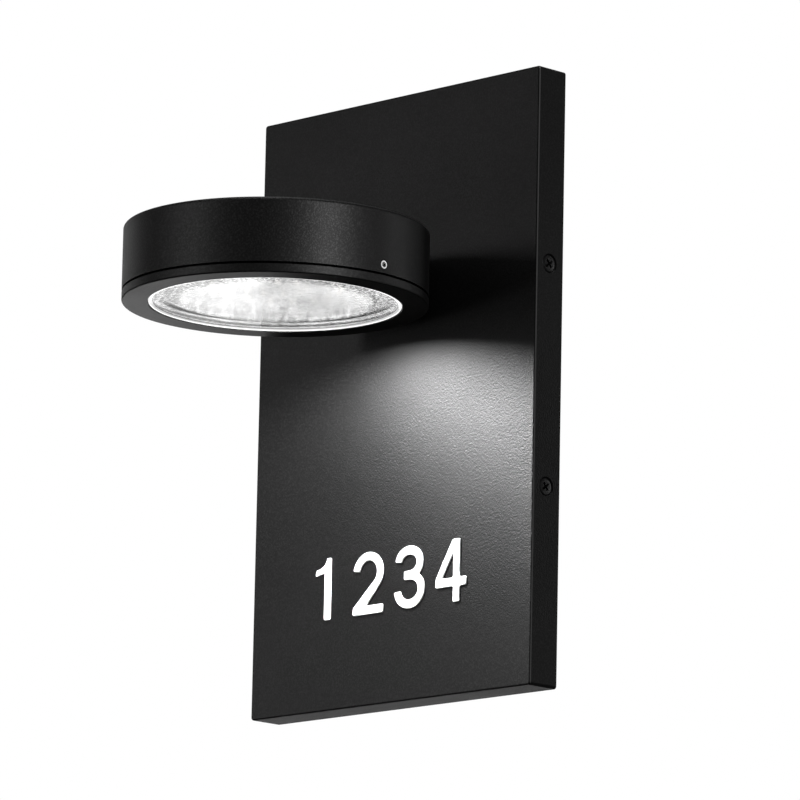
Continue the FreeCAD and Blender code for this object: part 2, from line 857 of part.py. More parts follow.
def make_neck_gasket():
    """The flat rubber pad between the neck and the cover."""
    reach_x = neck_width / 2 - neck_gasket_inset
    reach_z = neck_height / 2 - neck_gasket_inset
    pad = box_between(
        (-reach_x, neck_face_y, neck_z - reach_z), (reach_x, cover_front_y, neck_z + reach_z))
    pad = pad.makeFillet(neck_edge_radius - neck_gasket_inset, edges_along(pad, TO_WALL))
    for place in neck_screw_places(neck_face_y):
        pad = pad.cut(rod(neck_screw_radius + seat_gap, place, TO_WALL, neck_gasket_depth))
    way = Vector(0, neck_face_y, wire_hole_z)
    return pad.cut(rod(wire_hole_radius, way, TO_WALL, neck_gasket_depth))


def make_neck_screws():
    """Four screws from inside the cover into the neck."""
    screw = pan_screw(
        neck_screw_radius, neck_screw_head_radius, neck_screw_head_depth, neck_screw_length)
    seat = cover_panel_inner_y + cover_pad_depth
    return [aimed(screw, place, TO_WALL) for place in neck_screw_places(seat)]


def make_grub_screws():
    """Two socket grub screws in the drum's skirt, right and left."""
    screws = []
    length = drum_wall - grub_sunk
    body = rod(grub_radius, Vector(0, 0, -length), UP, length)
    body = body.cut(hex_prism(grub_key_across, grub_key_depth))
    for angle in grub_angles:
        place = drum_place(drum_radius - grub_sunk, angle, grub_height)
        outward = drum_place(1, angle, 0) - drum_place(0, angle, 0)
        screws.append(aimed(body, place, outward))
    return screws


def make_bezel_ring():
    """The ring under the drum: a flat flange with a spigot that goes up inside."""
    groove_low = lens_flange_top - seat_gap
    groove_high = lens_flange_top + snap_ring_depth + seat_gap
    body = turned_on_drum([
        (opening_radius, bezel_bottom_height), (drum_radius, bezel_bottom_height),
        (drum_radius, bezel_top_height), (spigot_outer, bezel_top_height),
        (spigot_outer, spigot_top - spigot_top_chamfer),
        (spigot_outer - spigot_top_chamfer, spigot_top),
        (spigot_inner, spigot_top), (spigot_inner, groove_high),
        (spigot_inner + snap_ring_groove, groove_high),
        (spigot_inner + snap_ring_groove, groove_low), (spigot_inner, groove_low),
        (spigot_inner, bezel_top_height), (opening_radius, bezel_top_height),
    ])
    rim = circle_edges(body, drum_radius, bezel_bottom_height)
    return body.makeFillet(bezel_edge_radius, rim)


def make_seam_seal():
    """The soft ring in the seam between the drum and the bezel ring."""
    inner = spigot_outer + seat_gap
    return turned_on_drum([
        (inner, bezel_top_height), (inner + seal_width, bezel_top_height),
        (inner + seal_width, bezel_top_height + seal_depth), (inner, bezel_top_height + seal_depth),
    ])


def make_lens_gasket():
    """The flat silicone ring that the glass sits on."""
    inner = opening_radius + lens_gasket_inset
    outer = spigot_inner - lens_gasket_inset
    return turned_on_drum([
        (inner, bezel_top_height), (outer, bezel_top_height),
        (outer, lens_flange_bottom), (inner, lens_flange_bottom),
    ])


def make_glass_lens():
    """The stepped pressed glass: a thick disc with a flange and a dished back."""
    plug = opening_radius - lens_fit_gap
    floor = lens_flange_top - lens_dish_depth
    body = turned_on_drum([
        (0, lens_bottom), (plug, lens_bottom), (plug, lens_flange_bottom),
        (lens_flange_radius, lens_flange_bottom), (lens_flange_radius, lens_flange_top),
        (lens_dish_radius, lens_flange_top), (lens_dish_radius - lens_dish_slope, floor), (0, floor),
    ])
    return body.makeFillet(lens_bottom_round, circle_edges(body, plug, lens_bottom))


def make_snap_ring():
    """The open spring ring that keeps the glass in, with two eyes for pliers."""
    bottom = lens_flange_top
    top = bottom + snap_ring_depth
    ring = turned_on_drum([
        (snap_ring_inner, bottom), (snap_ring_outer, bottom),
        (snap_ring_outer, top), (snap_ring_inner, top),
    ])
    half_gap = snap_ring_gap_angle / 2
    lug_circle = snap_ring_inner + snap_ring_lug_radius / 4
    lugs = []
    holes = []
    for side in (-1, 1):
        centre = drum_place(lug_circle, -90 + side * (half_gap + half_gap / 3), bottom)
        lugs.append(rod(snap_ring_lug_radius, centre, UP, snap_ring_depth))
        holes.append(rod(snap_ring_lug_hole, centre, UP, snap_ring_depth))
    wedge = [Vector(0, drum_axis_y, bottom)]
    for side in (-1, 1):
        wedge.append(drum_place(drum_radius, -90 + side * half_gap, bottom))
    opening = Part.Face(Part.makePolygon(wedge + wedge[:1])).extrude(Vector(0, 0, snap_ring_depth))
    return ring.cut(opening).fuse(lugs).removeSplitter().cut(Part.Compound(holes))


def make_carrier_plate():
    """The round aluminium plate that carries board and driver."""
    plate = rod(carrier_radius, Vector(0, drum_axis_y, carrier_bottom_height), UP, carrier_depth)
    for place in carrier_screw_places(carrier_bottom_height):
        plate = plate.cut(rod(carrier_screw_radius + seat_gap, place, UP, carrier_depth))
    for place in board_screw_places(carrier_bottom_height):
        plate = plate.cut(rod(board_screw_radius + seat_gap, place, UP, carrier_depth))
    for place in driver_screw_places(carrier_bottom_height):
        plate = plate.cut(rod(driver_screw_radius + seat_gap, place, UP, carrier_depth))
    way = Vector(carrier_wire_hole_x, drum_axis_y, carrier_bottom_height)
    return plate.cut(rod(carrier_wire_hole_radius, way, UP, carrier_depth))


def make_carrier_screws():
    """Three screws up through the carrier into the drum's bosses."""
    screw = pan_screw(carrier_screw_radius, carrier_screw_head_radius,
                      carrier_screw_head_depth, carrier_screw_length)
    return [aimed(screw, place, -UP) for place in carrier_screw_places(carrier_bottom_height)]


def make_led_board():
    """The round LED board under the carrier."""
    board = rod(board_radius, Vector(0, drum_axis_y, board_bottom_height), UP, board_depth)
    for place in board_screw_places(board_bottom_height):
        board = board.cut(rod(board_screw_radius + seat_gap, place, UP, board_depth))
    return board


def make_leds():
    """The LED packages: a square base with a round lens on it, facing down."""
    packages = []
    half = led_size / 2
    base = box_between((-half, -half, 0), (half, half, led_base_depth))
    lens = rod(led_dome_radius, Vector(0, 0, led_base_depth), UP, led_dome_depth)
    package = base.fuse(lens).removeSplitter()
    for place in led_places(board_bottom_height):
        packages.append(aimed(package, place, -UP))
    return packages


def make_reflector():
    """The shallow reflector tray, with a round window over each LED."""
    top = board_bottom_height
    flat = reflector_bottom_height
    slope_x = reflector_rim_radius - reflector_flat_radius
    slope_z = flat - reflector_rim_height
    shift_x = reflector_sheet * slope_z / math.hypot(slope_x, slope_z)
    shift_z = reflector_sheet * slope_x / math.hypot(slope_x, slope_z)
    body = turned_on_drum([
        (0, flat), (reflector_flat_radius, flat), (reflector_rim_radius, reflector_rim_height),
        (reflector_rim_radius + shift_x, reflector_rim_height + shift_z),
        (reflector_flat_radius + reflector_sheet / 2, top), (0, top),
    ])
    for place in led_places(flat):
        body = body.cut(rod(reflector_window_radius, place, UP, reflector_sheet))
    for place in board_screw_places(flat):
        body = body.cut(rod(board_screw_radius + seat_gap, place, UP, reflector_sheet))
    return body


def make_board_screws():
    """Three screws up through reflector and board into the carrier."""
    screw = pan_screw(board_screw_radius, board_screw_head_radius,
                      board_screw_head_depth, board_screw_length)
    return [aimed(screw, place, -UP) for place in board_screw_places(reflector_bottom_height)]


def driver_screw_places(height):
    """The two fixing screws of the driver, in its end tabs."""
    reach = (driver_length + driver_tab_length) / 2
    return [Vector(side * reach, drum_axis_y, height) for side in (-1, 1)]


def make_led_driver():
    """The potted driver: a rounded case with a fixing tab at each end."""
    low = carrier_top_height
    case = box_between(
        (-driver_length / 2, drum_axis_y - driver_width / 2, low),
        (driver_length / 2, drum_axis_y + driver_width / 2, low + driver_height),
    )
    case = case.makeFillet(driver_edge_radius, edges_along(case, UP))
    top = [edge for edge in case.Edges
           if edge.BoundBox.ZMin > low + driver_height - seat_gap]
    case = case.makeFillet(driver_edge_radius / 2, top)
    reach = driver_length / 2 + driver_tab_length
    tab = box_between(
        (-reach, drum_axis_y - driver_tab_length / 2, low),
        (reach, drum_axis_y + driver_tab_length / 2, low + driver_tab_depth),
    )
    tab = tab.makeFillet(driver_edge_radius, edges_along(tab, UP))
    body = case.fuse(tab).removeSplitter()
    for place in driver_screw_places(low):
        body = body.cut(rod(driver_tab_hole_radius, place, UP, driver_tab_depth))
    return body


def make_driver_screws():
    """The driver's two screws, down into the carrier."""
    screw = pan_screw(driver_screw_radius, driver_screw_head_radius,
                      driver_screw_head_depth, driver_screw_length)
    seat = carrier_top_height + driver_tab_depth
    return [aimed(screw, place, UP) for place in driver_screw_places(seat)]


def make_wire_grommet():
    """The rubber sleeve that lines the wire hole at the drum's rear wall."""
    wall_y = drum_axis_y + math.sqrt(drum_inner_wall ** 2 - grommet_flange_radius ** 2)
    seat = Vector(0, wall_y - slide_gap, wire_hole_z)
    bore = lead_radius + seat_gap
    outer = wire_hole_radius - seat_gap
    sleeve = turned_upright([
        (bore, -grommet_length), (outer, -grommet_length), (outer, 0),
        (grommet_flange_radius, 0), (grommet_flange_radius, grommet_flange_depth),
        (bore, grommet_flange_depth),
    ])
    return aimed(sleeve, seat, TO_ROOM)


def make_driver_lead():
    """The supply lead from the driver, through the neck, down behind the panel."""
    driver_back = drum_axis_y + driver_width / 2
    run = (drum_axis_y + drum_inner_wall - driver_back) / 3
    drop_y = cover_panel_inner_y + cover_pad_depth + lead_drop_bend
    places = [
        Vector(lead_exit_x, driver_back, wire_hole_z),
        Vector(lead_exit_x, driver_back + run, wire_hole_z),
        Vector(0, driver_back + 2 * run, wire_hole_z),
        Vector(0, drop_y, wire_hole_z),
        Vector(0, drop_y, lead_end_z),
    ]
    bends = [lead_slack_bend, lead_slack_bend, lead_drop_bend]
    return lead_along("driver_lead", places, bends, lead_radius)


def make_lead_cores():
    """The two cores from the lead's end to the outer poles of the block."""
    start_y = cover_panel_inner_y + cover_pad_depth + lead_drop_bend
    end_y = -bracket_sheet - clamp_depth
    end_z = block_z + clamp_length / 2
    cores = []
    for side, x in ((-1, pole_xs()[0]), (1, pole_xs()[1])):
        start_x = side * (core_radius + seat_gap / 2)
        places = [
            Vector(start_x, start_y, lead_end_z),
            Vector(start_x, start_y, core_spread_z),
            Vector(x, end_y, core_spread_z - abs(x - start_x) / 2 - core_bend / 2),
            Vector(x, end_y, end_z - clamp_screw_spacing / 2),
        ]
        cores.append(lead_along("lead_core", places, [core_bend / 2, core_bend / 2], core_radius))
    return cores


def make_earth_lead():
    """The short earth core from the ring lug to the third pole."""
    y = -bracket_sheet - earth_hub_depth - washer_depth - lug_barrel_radius
    lug_x = earth_x - lug_ring_radius - lug_neck_length
    end_y = -bracket_sheet - clamp_depth
    end_z = block_z + clamp_length / 2 - clamp_screw_spacing / 2
    x = pole_xs()[2]
    places = [
        Vector(lug_x + lug_barrel_length / 2, y, earth_z),
        Vector(lug_x - lug_barrel_radius, y, earth_z),
        Vector(x, end_y, earth_z - lug_barrel_radius),
        Vector(x, end_y, end_z),
    ]
    return lead_along("earth_lead", places, [earth_core_bend, earth_core_bend], core_radius)


def make_board_lead():
    """The low voltage lead from the driver's end down to the board."""
    z = carrier_top_height + driver_tab_depth + driver_height / 3
    places = [
        Vector(-driver_length / 2, drum_axis_y + driver_width / 3, z),
        Vector(carrier_wire_hole_x, drum_axis_y + driver_width / 3, z),
        Vector(carrier_wire_hole_x, drum_axis_y, z),
        Vector(carrier_wire_hole_x, drum_axis_y, carrier_bottom_height),
    ]
    bends = [board_lead_bend, board_lead_bend]
    return lead_along("board_lead", places, bends, board_lead_radius)


NODES = {
    "mounting_bracket": make_mounting_bracket,
    "rivet_nuts": make_rivet_nuts,
    "cable_bush": make_cable_bush,
    "earth_washer": make_earth_washer,
    "earth_lug": make_earth_lug,
    "earth_screw": make_earth_screw,
    "earth_lead": make_earth_lead,
    "terminal_block": make_terminal_block,
    "terminal_clamps": make_terminal_clamps,
    "clamp_screws": make_clamp_screws,
    "block_screws": make_block_screws,
    "wall_strip": make_wall_strip,
    "cover_box": make_cover_box,
    "cover_screws": make_cover_screws,
    "neck_gasket": make_neck_gasket,
    "neck_screws": make_neck_screws,
    "lamp_housing": make_lamp_housing,
    "wire_grommet": make_wire_grommet,
    "driver_lead": make_driver_lead,
    "lead_cores": make_lead_cores,
    "carrier_plate": make_carrier_plate,
    "carrier_screws": make_carrier_screws,
    "led_driver": make_led_driver,
    "driver_screws": make_driver_screws,
    "board_lead": make_board_lead,
    "led_board": make_led_board,
    "led_packages": make_leds,
    "board_screws": make_board_screws,
    "reflector": make_reflector,
    "bezel_grub_screws": make_grub_screws,
    "bezel_ring": make_bezel_ring,
    "seam_seal": make_seam_seal,
    "lens_gasket": make_lens_gasket,
    "glass_lens": make_glass_lens,
    "lens_snap_ring": make_snap_ring,
}


def write_node(name, made):
    """Writes one node, a single solid or a group of alike solids."""
    shape = Part.Compound(made) if isinstance(made, list) else made
    shape.exportStep("parts/" + name + ".step")
    print(name, len(shape.Solids), "solids", round(shape.Volume / 1000, 2), "cm3", shape.isValid())


os.makedirs("parts", exist_ok=True)
for node_name, make_node in NODES.items():
    write_node(node_name, make_node())
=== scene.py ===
import math

import bmesh
import bpy
from mathutils import Matrix, Vector


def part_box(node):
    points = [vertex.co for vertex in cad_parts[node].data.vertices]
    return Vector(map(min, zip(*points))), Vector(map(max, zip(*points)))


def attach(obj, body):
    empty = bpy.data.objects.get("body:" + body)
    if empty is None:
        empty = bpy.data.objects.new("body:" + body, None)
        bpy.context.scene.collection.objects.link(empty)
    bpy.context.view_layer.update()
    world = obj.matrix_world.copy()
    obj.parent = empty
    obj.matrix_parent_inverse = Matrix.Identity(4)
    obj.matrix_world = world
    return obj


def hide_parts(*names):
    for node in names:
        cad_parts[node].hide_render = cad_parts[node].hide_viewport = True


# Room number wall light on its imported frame, in metres. X to the right, Y into
# the wall, Z up. The origin is the centre of the wall bracket, on the wall.

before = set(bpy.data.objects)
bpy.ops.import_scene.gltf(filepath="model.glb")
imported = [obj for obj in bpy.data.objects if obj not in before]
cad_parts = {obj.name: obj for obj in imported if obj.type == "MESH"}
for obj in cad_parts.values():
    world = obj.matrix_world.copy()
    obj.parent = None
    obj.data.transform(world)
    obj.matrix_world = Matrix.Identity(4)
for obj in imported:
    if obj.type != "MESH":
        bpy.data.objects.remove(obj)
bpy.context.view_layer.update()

MM = 0.001

# Places read from the frame
plate_low, plate_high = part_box("cover_box")
bezel_low, bezel_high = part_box("bezel_ring")
lens_low, lens_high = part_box("glass_lens")
board_low, board_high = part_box("led_board")
leds_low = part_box("led_packages")[0]
reflector_low, reflector_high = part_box("reflector")
plate_front = plate_low.y
plate_centre = Vector((0, plate_front, 0))
drum_radius = (bezel_high.x - bezel_low.x) / 2
drum_axis = Vector((0, (bezel_low.y + bezel_high.y) / 2, 0))
board_radius = (board_high.x - board_low.x) / 2

bezel_face_width = 12.5 * MM

# Camera, at the photograph's angle
camera_azimuth = 44.943
camera_elevation = -11.416
camera_roll = 1.169
camera_distance = 3.1073
camera_lens = 284.2
camera_aim = Vector((4.64, -18.5, -2.29)) * MM
camera_reach = 20
sensor_width = 36

# Raised numerals, from the plate's centre
numeral_text = "1234"
numeral_height = 31 * MM
numeral_width = 20.6 * MM
numeral_stroke = 4.3 * MM
numeral_pitch = 28.4 * MM
numeral_middle = -91.7 * MM
numeral_depth = 0.8 * MM
numeral_bevel = 0.2 * MM
numeral_bevel_steps = 2
numeral_arc_steps = 24
numeral_flag_steps = 10
numeral_corner = 0.9 * MM
numeral_corner_steps = 6
numeral_corner_share = 0.45
numeral_sharpest_arc = 150

# LED packages on the board. A layer is its rise and its top's width, as shares.
led_ring_counts = (18, 9)
led_ring_shares = (0.6, 0.28)
led_base_size = 3.5 * MM
led_base_depth = 0.8 * MM
led_base_sides = 4
led_base_layers = ((0.8, 1.0), (0.2, 0.86))
led_dome_radius = 1.6 * MM
led_dome_sides = 20
led_dome_layers = ((0.45, 0.93), (0.35, 0.78), (0.2, 0.5))

# Glass lens, from its rim inwards: a raised rim, its inner slope and a dished back
lens_rim_gap = 0.4 * MM
lens_rim_rise = 0.3 * MM
lens_rim_width = 1.3 * MM
lens_rim_round = 0.4 * MM
lens_slope_width = 0.9 * MM
lens_slope_height = 0.9 * MM
lens_face_share = 0.5
lens_flange_depth = 3.0 * MM
lens_back_rise = 0.35 * MM
lens_back_start = 0.86
lens_back_fall = 0.12
lens_back_middle = 0.3
lens_back_steps = 8
lens_plug_radius = drum_radius - bezel_face_width - lens_rim_gap
lens_rim_foot = bezel_low.z + lens_rim_rise
lens_face = lens_rim_foot + lens_slope_height
lathe_steps = 180
lathe_sharp_angle = 40

# Side screws. The edge and crown of a head are shares, from its rim inwards.
screw_head_radius = 4.3 * MM
screw_head_depth = 2.2 * MM
screw_head_sunk = 0.45 * MM
screw_head_foot_share = 0.55
screw_head_edge = 0.5 * MM
screw_edge_shares = ((0, 1), (0.12, 0.45), (0.5, 0.1))
screw_head_crown = 0.2 * MM
screw_crown_shares = (0.85, 0.65, 0.4, 0.2, 0)
screw_crown_flatness = 0.8
screw_cross_span = 5.6 * MM
screw_cross_width = 1.3 * MM
screw_cross_turn = 38
screw_cross_depth = 1.5 * MM
screw_cross_foot_shares = (0.45, 0.8)
screw_sharp_angle = 30
side_screw_height = 55 * MM

# Inner leads, along the routes of the CAD model
driver_lead_radius = 2.5 * MM
driver_lead_route = (
    (20, -83.9, 57.7), (20, -66.07, 57.7), (0, -48.23, 57.7), (0, -20, 57.7), (0, -6.1, 57.7),
    (0, -6.1, 44), (0, -6.1, -24))
core_radius = 1.1 * MM
live_core_route = ((1.15, -6.1, -24), (1.15, -6.1, -31), (0, -7.4, -35.1), (0, -7.4, -49))
neutral_core_route = (
    (-1.15, -6.1, -24), (-1.15, -6.1, -31), (-10, -7.4, -38.9), (-10, -7.4, -49))
earth_lead_route = ((24.25, -5.8, -26), (19.5, -5.8, -26), (10, -7.4, -28), (10, -7.4, -49))
board_lead_radius = 1.4 * MM
board_lead_route = (
    (-36, -89.57, 57.77), (-50, -89.57, 57.77), (-50, -100.9, 57.77), (-50, -100.9, 49.6))
lead_round_steps = 5
lead_curve_order = 3
lead_curve_steps = 16

# Grain of every finish: a fine noise over a broad one
grain_detail = 2
grain_tones = (0.35, 0.7)
cloud_detail = 3
cloud_tones = (0.3, 0.7)
cloud_share = 0.5
soft_edge = 0.1 * MM

# Black coat. Its grain stands out where the lamp light rakes the plate, its gloss has specks,
# and the front corners of the cover carry a glossier strip for a painted highlight.
coat_specular = 0.018
coat_gloss_roughness = 0.5
coat_grain_scale = 1450
coat_cloud_scale = 24
coat_grain_stretch = (1, 1, 0.85)
coat_grain_depth = 0.3 * MM
coat_grain_middle = (75 * MM, 0, -48 * MM)
coat_grain_reach = (130 * MM, 78 * MM)
coat_grain_fade = (0.6, 1.1)
coat_grain_faint = 0.15
coat_speck_heights = (0.5, 0.64)
coat_speck_weight = 0.03
corner_highlight_weight = 0.8
corner_highlight_depth = 0.8 * MM
corner_highlight_width = 0.25 * MM

# Bright ring round the key hole of a grub screw; inside the ring, the dark tone is painted shade
# in the key hole
grub_ring_radius = 1.9 * MM
grub_ring_width = 0.75 * MM
grub_dark_tone = 0.004

# Speckle in the glass, and in the painted light on the reflector's sloping rim
speckle_detail = 3
speckle_heights = (0.4, 0.6)
speckle_tones = (0.2, 1)

# Looks of the glass: a painted glow, which stands in for light caught in the glass, in the
# inside of its rim, and stipple that is strong in a ring near its edge and faint over the rest
glass_refraction = 1.47
lens_rim_painted_glow = 0.6
lens_rim_painted_glow_edge = 0.3 * MM
lens_stipple_scale = 650
lens_stipple_inner = 45 * MM
lens_stipple_inner_edge = 3 * MM
lens_stipple_outer = 60 * MM
lens_stipple_outer_edge = 2 * MM
lens_stipple_faint = 0.2

# Painted light on the reflector, a glow that stands in for the LEDs' light on it: soft patches
# on its flat, and speckle on its sloping rim
reflector_painted_glow = 1.85
reflector_patch_scale = 38
reflector_patch_detail = 1
reflector_patch_heights = (0.38, 0.56)
reflector_patch_tones = (0.08, 1)
reflector_speckle_scale = 420
reflector_flat_shares = (0.82, 0.86)

# Painted glow on the board screws, standing in for the LEDs' light on them
steel_painted_glow = 0.5
led_glow = 1.6
led_glow_colour = (1, 0.98, 0.95, 1)

# Light that the LEDs throw through the glass
throw_height = 41.2 * MM
throw_size = 5 * MM
throw_angle = 154
throw_blend = 0.51
throw_power = 3.02
throw_lean = Vector((-1.91, 0.95, 0))
fill_radius = 32 * MM
fill_power = 5.4

# Studio. A lamp is its azimuth, elevation, width, height and power.
floor_height = -0.88
floor_reach = 6.0
floor_tone = (0.82, 0.82, 0.82, 1)
floor_roughness = 0.9
floor_glow = 0.5
floor_glow_in_gloss = 0.12
world_light = 0.35
studio_distance = 2.4
top_fill = (20, 60, 1.4, 1.4, 14)

# Lamps that show only as gloss on one group of coated parts
drum_sheens = {
    "left_sheen": (-15, 8, 0.3, 0.8, 99),
    "front_left_sheen": (-30, 8, 0.3, 0.8, 24),
    "far_left_sheen": (-92, 8, 0.3, 0.8, 6),
    "right_sheen": (82, 8, 0.3, 0.8, 414),
    "side_sheen": (145, 8, 0.3, 0.8, 39),
    "under_left_sheen": (235, -12, 0.5, 0.5, 7.2),
    "drum_top_sheen": (45, 86, 1.2, 1.2, 120),
}
plate_sheens = {
    "plate_sheen": (-45, 8, 0.3, 0.8, 46),
    "plate_low_sheen": (-45, -13, 0.5, 0.5, 54),
    "plate_side_sheen": (150, 8, 0.3, 0.8, 22),
    "plate_under_sheen": (225, -25, 0.5, 0.5, 11.5),
    "plate_top_sheen": (45, 86, 1.2, 1.2, 250),
}
screw_sheens = {"screw_sheen": (45, 12, 0.3, 0.8, 300)}
drum_pieces = ("lamp_housing", "bezel_ring")
plate_pieces = ("cover_box", "side_screws")
screw_pieces = ("side_screws",)


def linked(tree, source, target):
    """Links an output socket to an input socket."""
    tree.links.new(source, target)


def source_of(socket):
    """The output socket that feeds an input socket."""
    return socket.links[0].from_socket


def set_inputs(tree, node, inputs):
    """Links the inputs that are given a socket, and sets the others."""
    for label, value in inputs.items():
        if isinstance(value, bpy.types.NodeSocket):
            linked(tree, value, node.inputs[label])
        else:
            node.inputs[label].default_value = value


def add_node(tree, kind, inputs=None, **settings):
    """A node with its settings and inputs."""
    node = tree.nodes.new(kind)
    for label, value in settings.items():
        setattr(node, label, value)
    set_inputs(tree, node, inputs or {})
    return node


def calculated(tree, operation, *values):
    """The result of a Math node."""
    node = add_node(tree, "ShaderNodeMath", dict(enumerate(values)), operation=operation)
    return node.outputs["Value"]


def vector_calculated(tree, operation, *values):
    """The result of a Vector Math node."""
    node = add_node(tree, "ShaderNodeVectorMath", dict(enumerate(values)), operation=operation)
    return node.outputs["Value" if operation == "LENGTH" else "Vector"]


def ramped(tree, value, from_low, from_high, to_low=0, to_high=1):
    """The result of a Map Range node."""
    node = add_node(tree, "ShaderNodeMapRange", {
        "Value": value, "From Min": from_low, "From Max": from_high, "To Min": to_low,
        "To Max": to_high})
    return node.outputs["Result"]


def noise(tree, place, scale, detail):
    """The value of a noise at a place."""
    node = add_node(tree, "ShaderNodeTexNoise", {
        "Vector": place, "Scale": scale, "Detail": detail})
    return node.outputs["Fac"]


def speckle(tree, place, scale):
    """Fine speckle between a dark and a full tone."""
    return ramped(tree, noise(tree, place, scale, speckle_detail), *speckle_heights,
                  *speckle_tones)


def mixed_colour(tree, share, first, second):
    """Two colours, mixed by a share."""
    node = add_node(tree, "ShaderNodeMix", {"Factor": share, "A": first, "B": second},
                    data_type="RGBA")
    return node.outputs["Result"]


def as_colour(tree, value):
    """A value as a neutral colour."""
    node = add_node(tree, "ShaderNodeCombineColor", {
        "Red": value, "Green": value, "Blue": value})
    return node.outputs["Color"]


def place_on_piece(tree):
    """The place on the piece itself."""
    return add_node(tree, "ShaderNodeTexCoord").outputs["Object"]


def parts_of(tree, place):
    """The X, Y and Z of a place."""
    return add_node(tree, "ShaderNodeSeparateXYZ", {"Vector": place}).outputs


def distance_from(tree, place, centre, shares):
    """How far a place is from a centre, with X, Y and Z each counted by a share."""
    offset = vector_calculated(tree, "SUBTRACT", place, centre)
    return vector_calculated(tree, "LENGTH",
                             vector_calculated(tree, "MULTIPLY", offset, shares))


def see_through(tree, share, shader):
    """Shows a shader on the surface, and nothing where the share is 1."""
    clear = add_node(tree, "ShaderNodeBsdfTransparent")
    mixed = add_node(tree, "ShaderNodeMixShader", {
        0: share, 1: shader, 2: clear.outputs["BSDF"]})
    linked(tree, mixed.outputs["Shader"], tree.nodes["Material Output"].inputs["Surface"])


def new_group(kind, name, inputs, outputs):
    """An empty node group with named sockets and their kinds of value. Returns it with the
    sockets of its two ends."""
    group = bpy.data.node_groups.new(name, kind)
    for end, sockets in (("INPUT", inputs), ("OUTPUT", outputs)):
        for label, value in sockets.items():
            group.interface.new_socket(label, in_out=end, socket_type="NodeSocket" + value)
    enter = group.nodes.new("NodeGroupInput")
    leave = group.nodes.new("NodeGroupOutput")
    return group, enter.outputs, leave.inputs


def grain_group():
    """Fine grain over broad clouds, as on coated, cast and moulded surfaces."""
    group, enter, leave = new_group(
        "ShaderNodeTree", "surface_grain",
        {"Place": "Vector", "Stretch": "Vector", "Grain Scale": "Float", "Cloud Scale": "Float",
         "Dark Colour": "Color", "Light Colour": "Color", "Low Roughness": "Float",
         "High Roughness": "Float"},
        {"Colour": "Color", "Roughness": "Float", "Height": "Float"})
    place = vector_calculated(group, "MULTIPLY", enter["Place"], enter["Stretch"])
    fine = noise(group, place, enter["Grain Scale"], grain_detail)
    broad = noise(group, place, enter["Cloud Scale"], cloud_detail)
    tone = calculated(group, "MULTIPLY_ADD", broad, cloud_share,
                      ramped(group, fine, *grain_tones))
    linked(group, mixed_colour(group, tone, enter["Dark Colour"], enter["Light Colour"]),
           leave["Colour"])
    linked(group, ramped(group, broad, *cloud_tones, enter["Low Roughness"],
                         enter["High Roughness"]), leave["Roughness"])
    linked(group, fine, leave["Height"])
    return group


SURFACE_GRAIN = grain_group()


def grey(tone):
    """A neutral colour."""
    return (tone, tone, tone)


# The finishes: dark and light colour, lowest and highest roughness, scale of the grain, and
# what else differs from the usual
usual_looks = {"cloud": 30, "stretch": (1, 1, 1), "metallic": 0.0, "specular": 0.5, "bump": 0.1,
               "depth": 0.1 * MM}
own_looks = {
    "black_coat": (grey(0.001), grey(0.0035), (0.47, 0.51), coat_grain_scale,
                   {"cloud": coat_cloud_scale, "stretch": coat_grain_stretch,
                    "specular": coat_specular, "bump": 1.0, "depth": coat_grain_depth}),
    "lens_glass": (grey(0.93), grey(1.0), (0.05, 0.14), 500, {"bump": 0.2}),
    "reflector_metal": (grey(0.75), grey(0.9), (0.2, 0.35), 300,
                        {"metallic": 0.6, "bump": 0.2}),
    "led_glow": ((0.95, 0.93, 0.85), grey(1.0), (0.1, 0.2), 600, {"bump": 0.02}),
    "painted_glow_steel": (grey(0.6), grey(0.8), (0.2, 0.35), 500, {"metallic": 1.0}),
    "grub_steel": (grey(0.6), grey(0.8), (0.2, 0.35), 500, {"metallic": 1.0}),
}
plain_looks = {
    "zinc_steel": (grey(0.5), grey(0.62), (0.3, 0.42), 150,
                   {"cloud": 12, "stretch": (1, 1, 0.15), "metallic": 1.0}),
    "plain_steel": (grey(0.4), grey(0.6), (0.25, 0.4), 500, {"metallic": 1.0}),
    "stainless": (grey(0.6), grey(0.8), (0.2, 0.32), 800, {"metallic": 1.0}),
    "black_steel": (grey(0.001), grey(0.004), (0.34, 0.44), 900, {"specular": 0.03}),
    "brass_metal": ((0.6, 0.4, 0.14), (0.8, 0.58, 0.26), (0.22, 0.4), 500, {"metallic": 1.0}),
    "black_nylon": (grey(0.015), grey(0.03), (0.42, 0.55), 700, {}),
    "white_nylon": ((0.7, 0.69, 0.64), (0.8, 0.79, 0.75), (0.4, 0.5), 400, {}),
    "black_rubber": (grey(0.001), grey(0.003), (0.65, 0.8), 900,
                     {"specular": 0.02, "bump": 0.2}),
    "clear_silicone": ((0.5, 0.5, 0.49), (0.66, 0.66, 0.64), (0.35, 0.5), 400, {}),
    "lead_sheath": (grey(0.014), grey(0.03), (0.4, 0.55), 500, {}),
    "core_sheath": ((0.18, 0.05, 0.02), (0.25, 0.08, 0.03), (0.35, 0.5), 500, {}),
    "neutral_sheath": ((0.01, 0.05, 0.25), (0.02, 0.09, 0.35), (0.35, 0.5), 500, {}),
    "earth_sheath": ((0.05, 0.22, 0.04), (0.5, 0.45, 0.03), (0.35, 0.5), 240,
                     {"stretch": (0.2, 1, 1)}),
    "bare_aluminium": (grey(0.55), grey(0.72), (0.28, 0.42), 300,
                       {"stretch": (0.15, 1, 1), "metallic": 1.0}),
    "board_mask": (grey(0.78), grey(0.86), (0.3, 0.42), 500, {}),
    "driver_case": (grey(0.66), grey(0.76), (0.4, 0.5), 500, {}),
    "numeral_white": (grey(0.9), grey(0.95), (0.25, 0.35), 500, {"bump": 0.02}),
    "led_ceramic": (grey(0.7), grey(0.82), (0.4, 0.5), 900, {}),
}


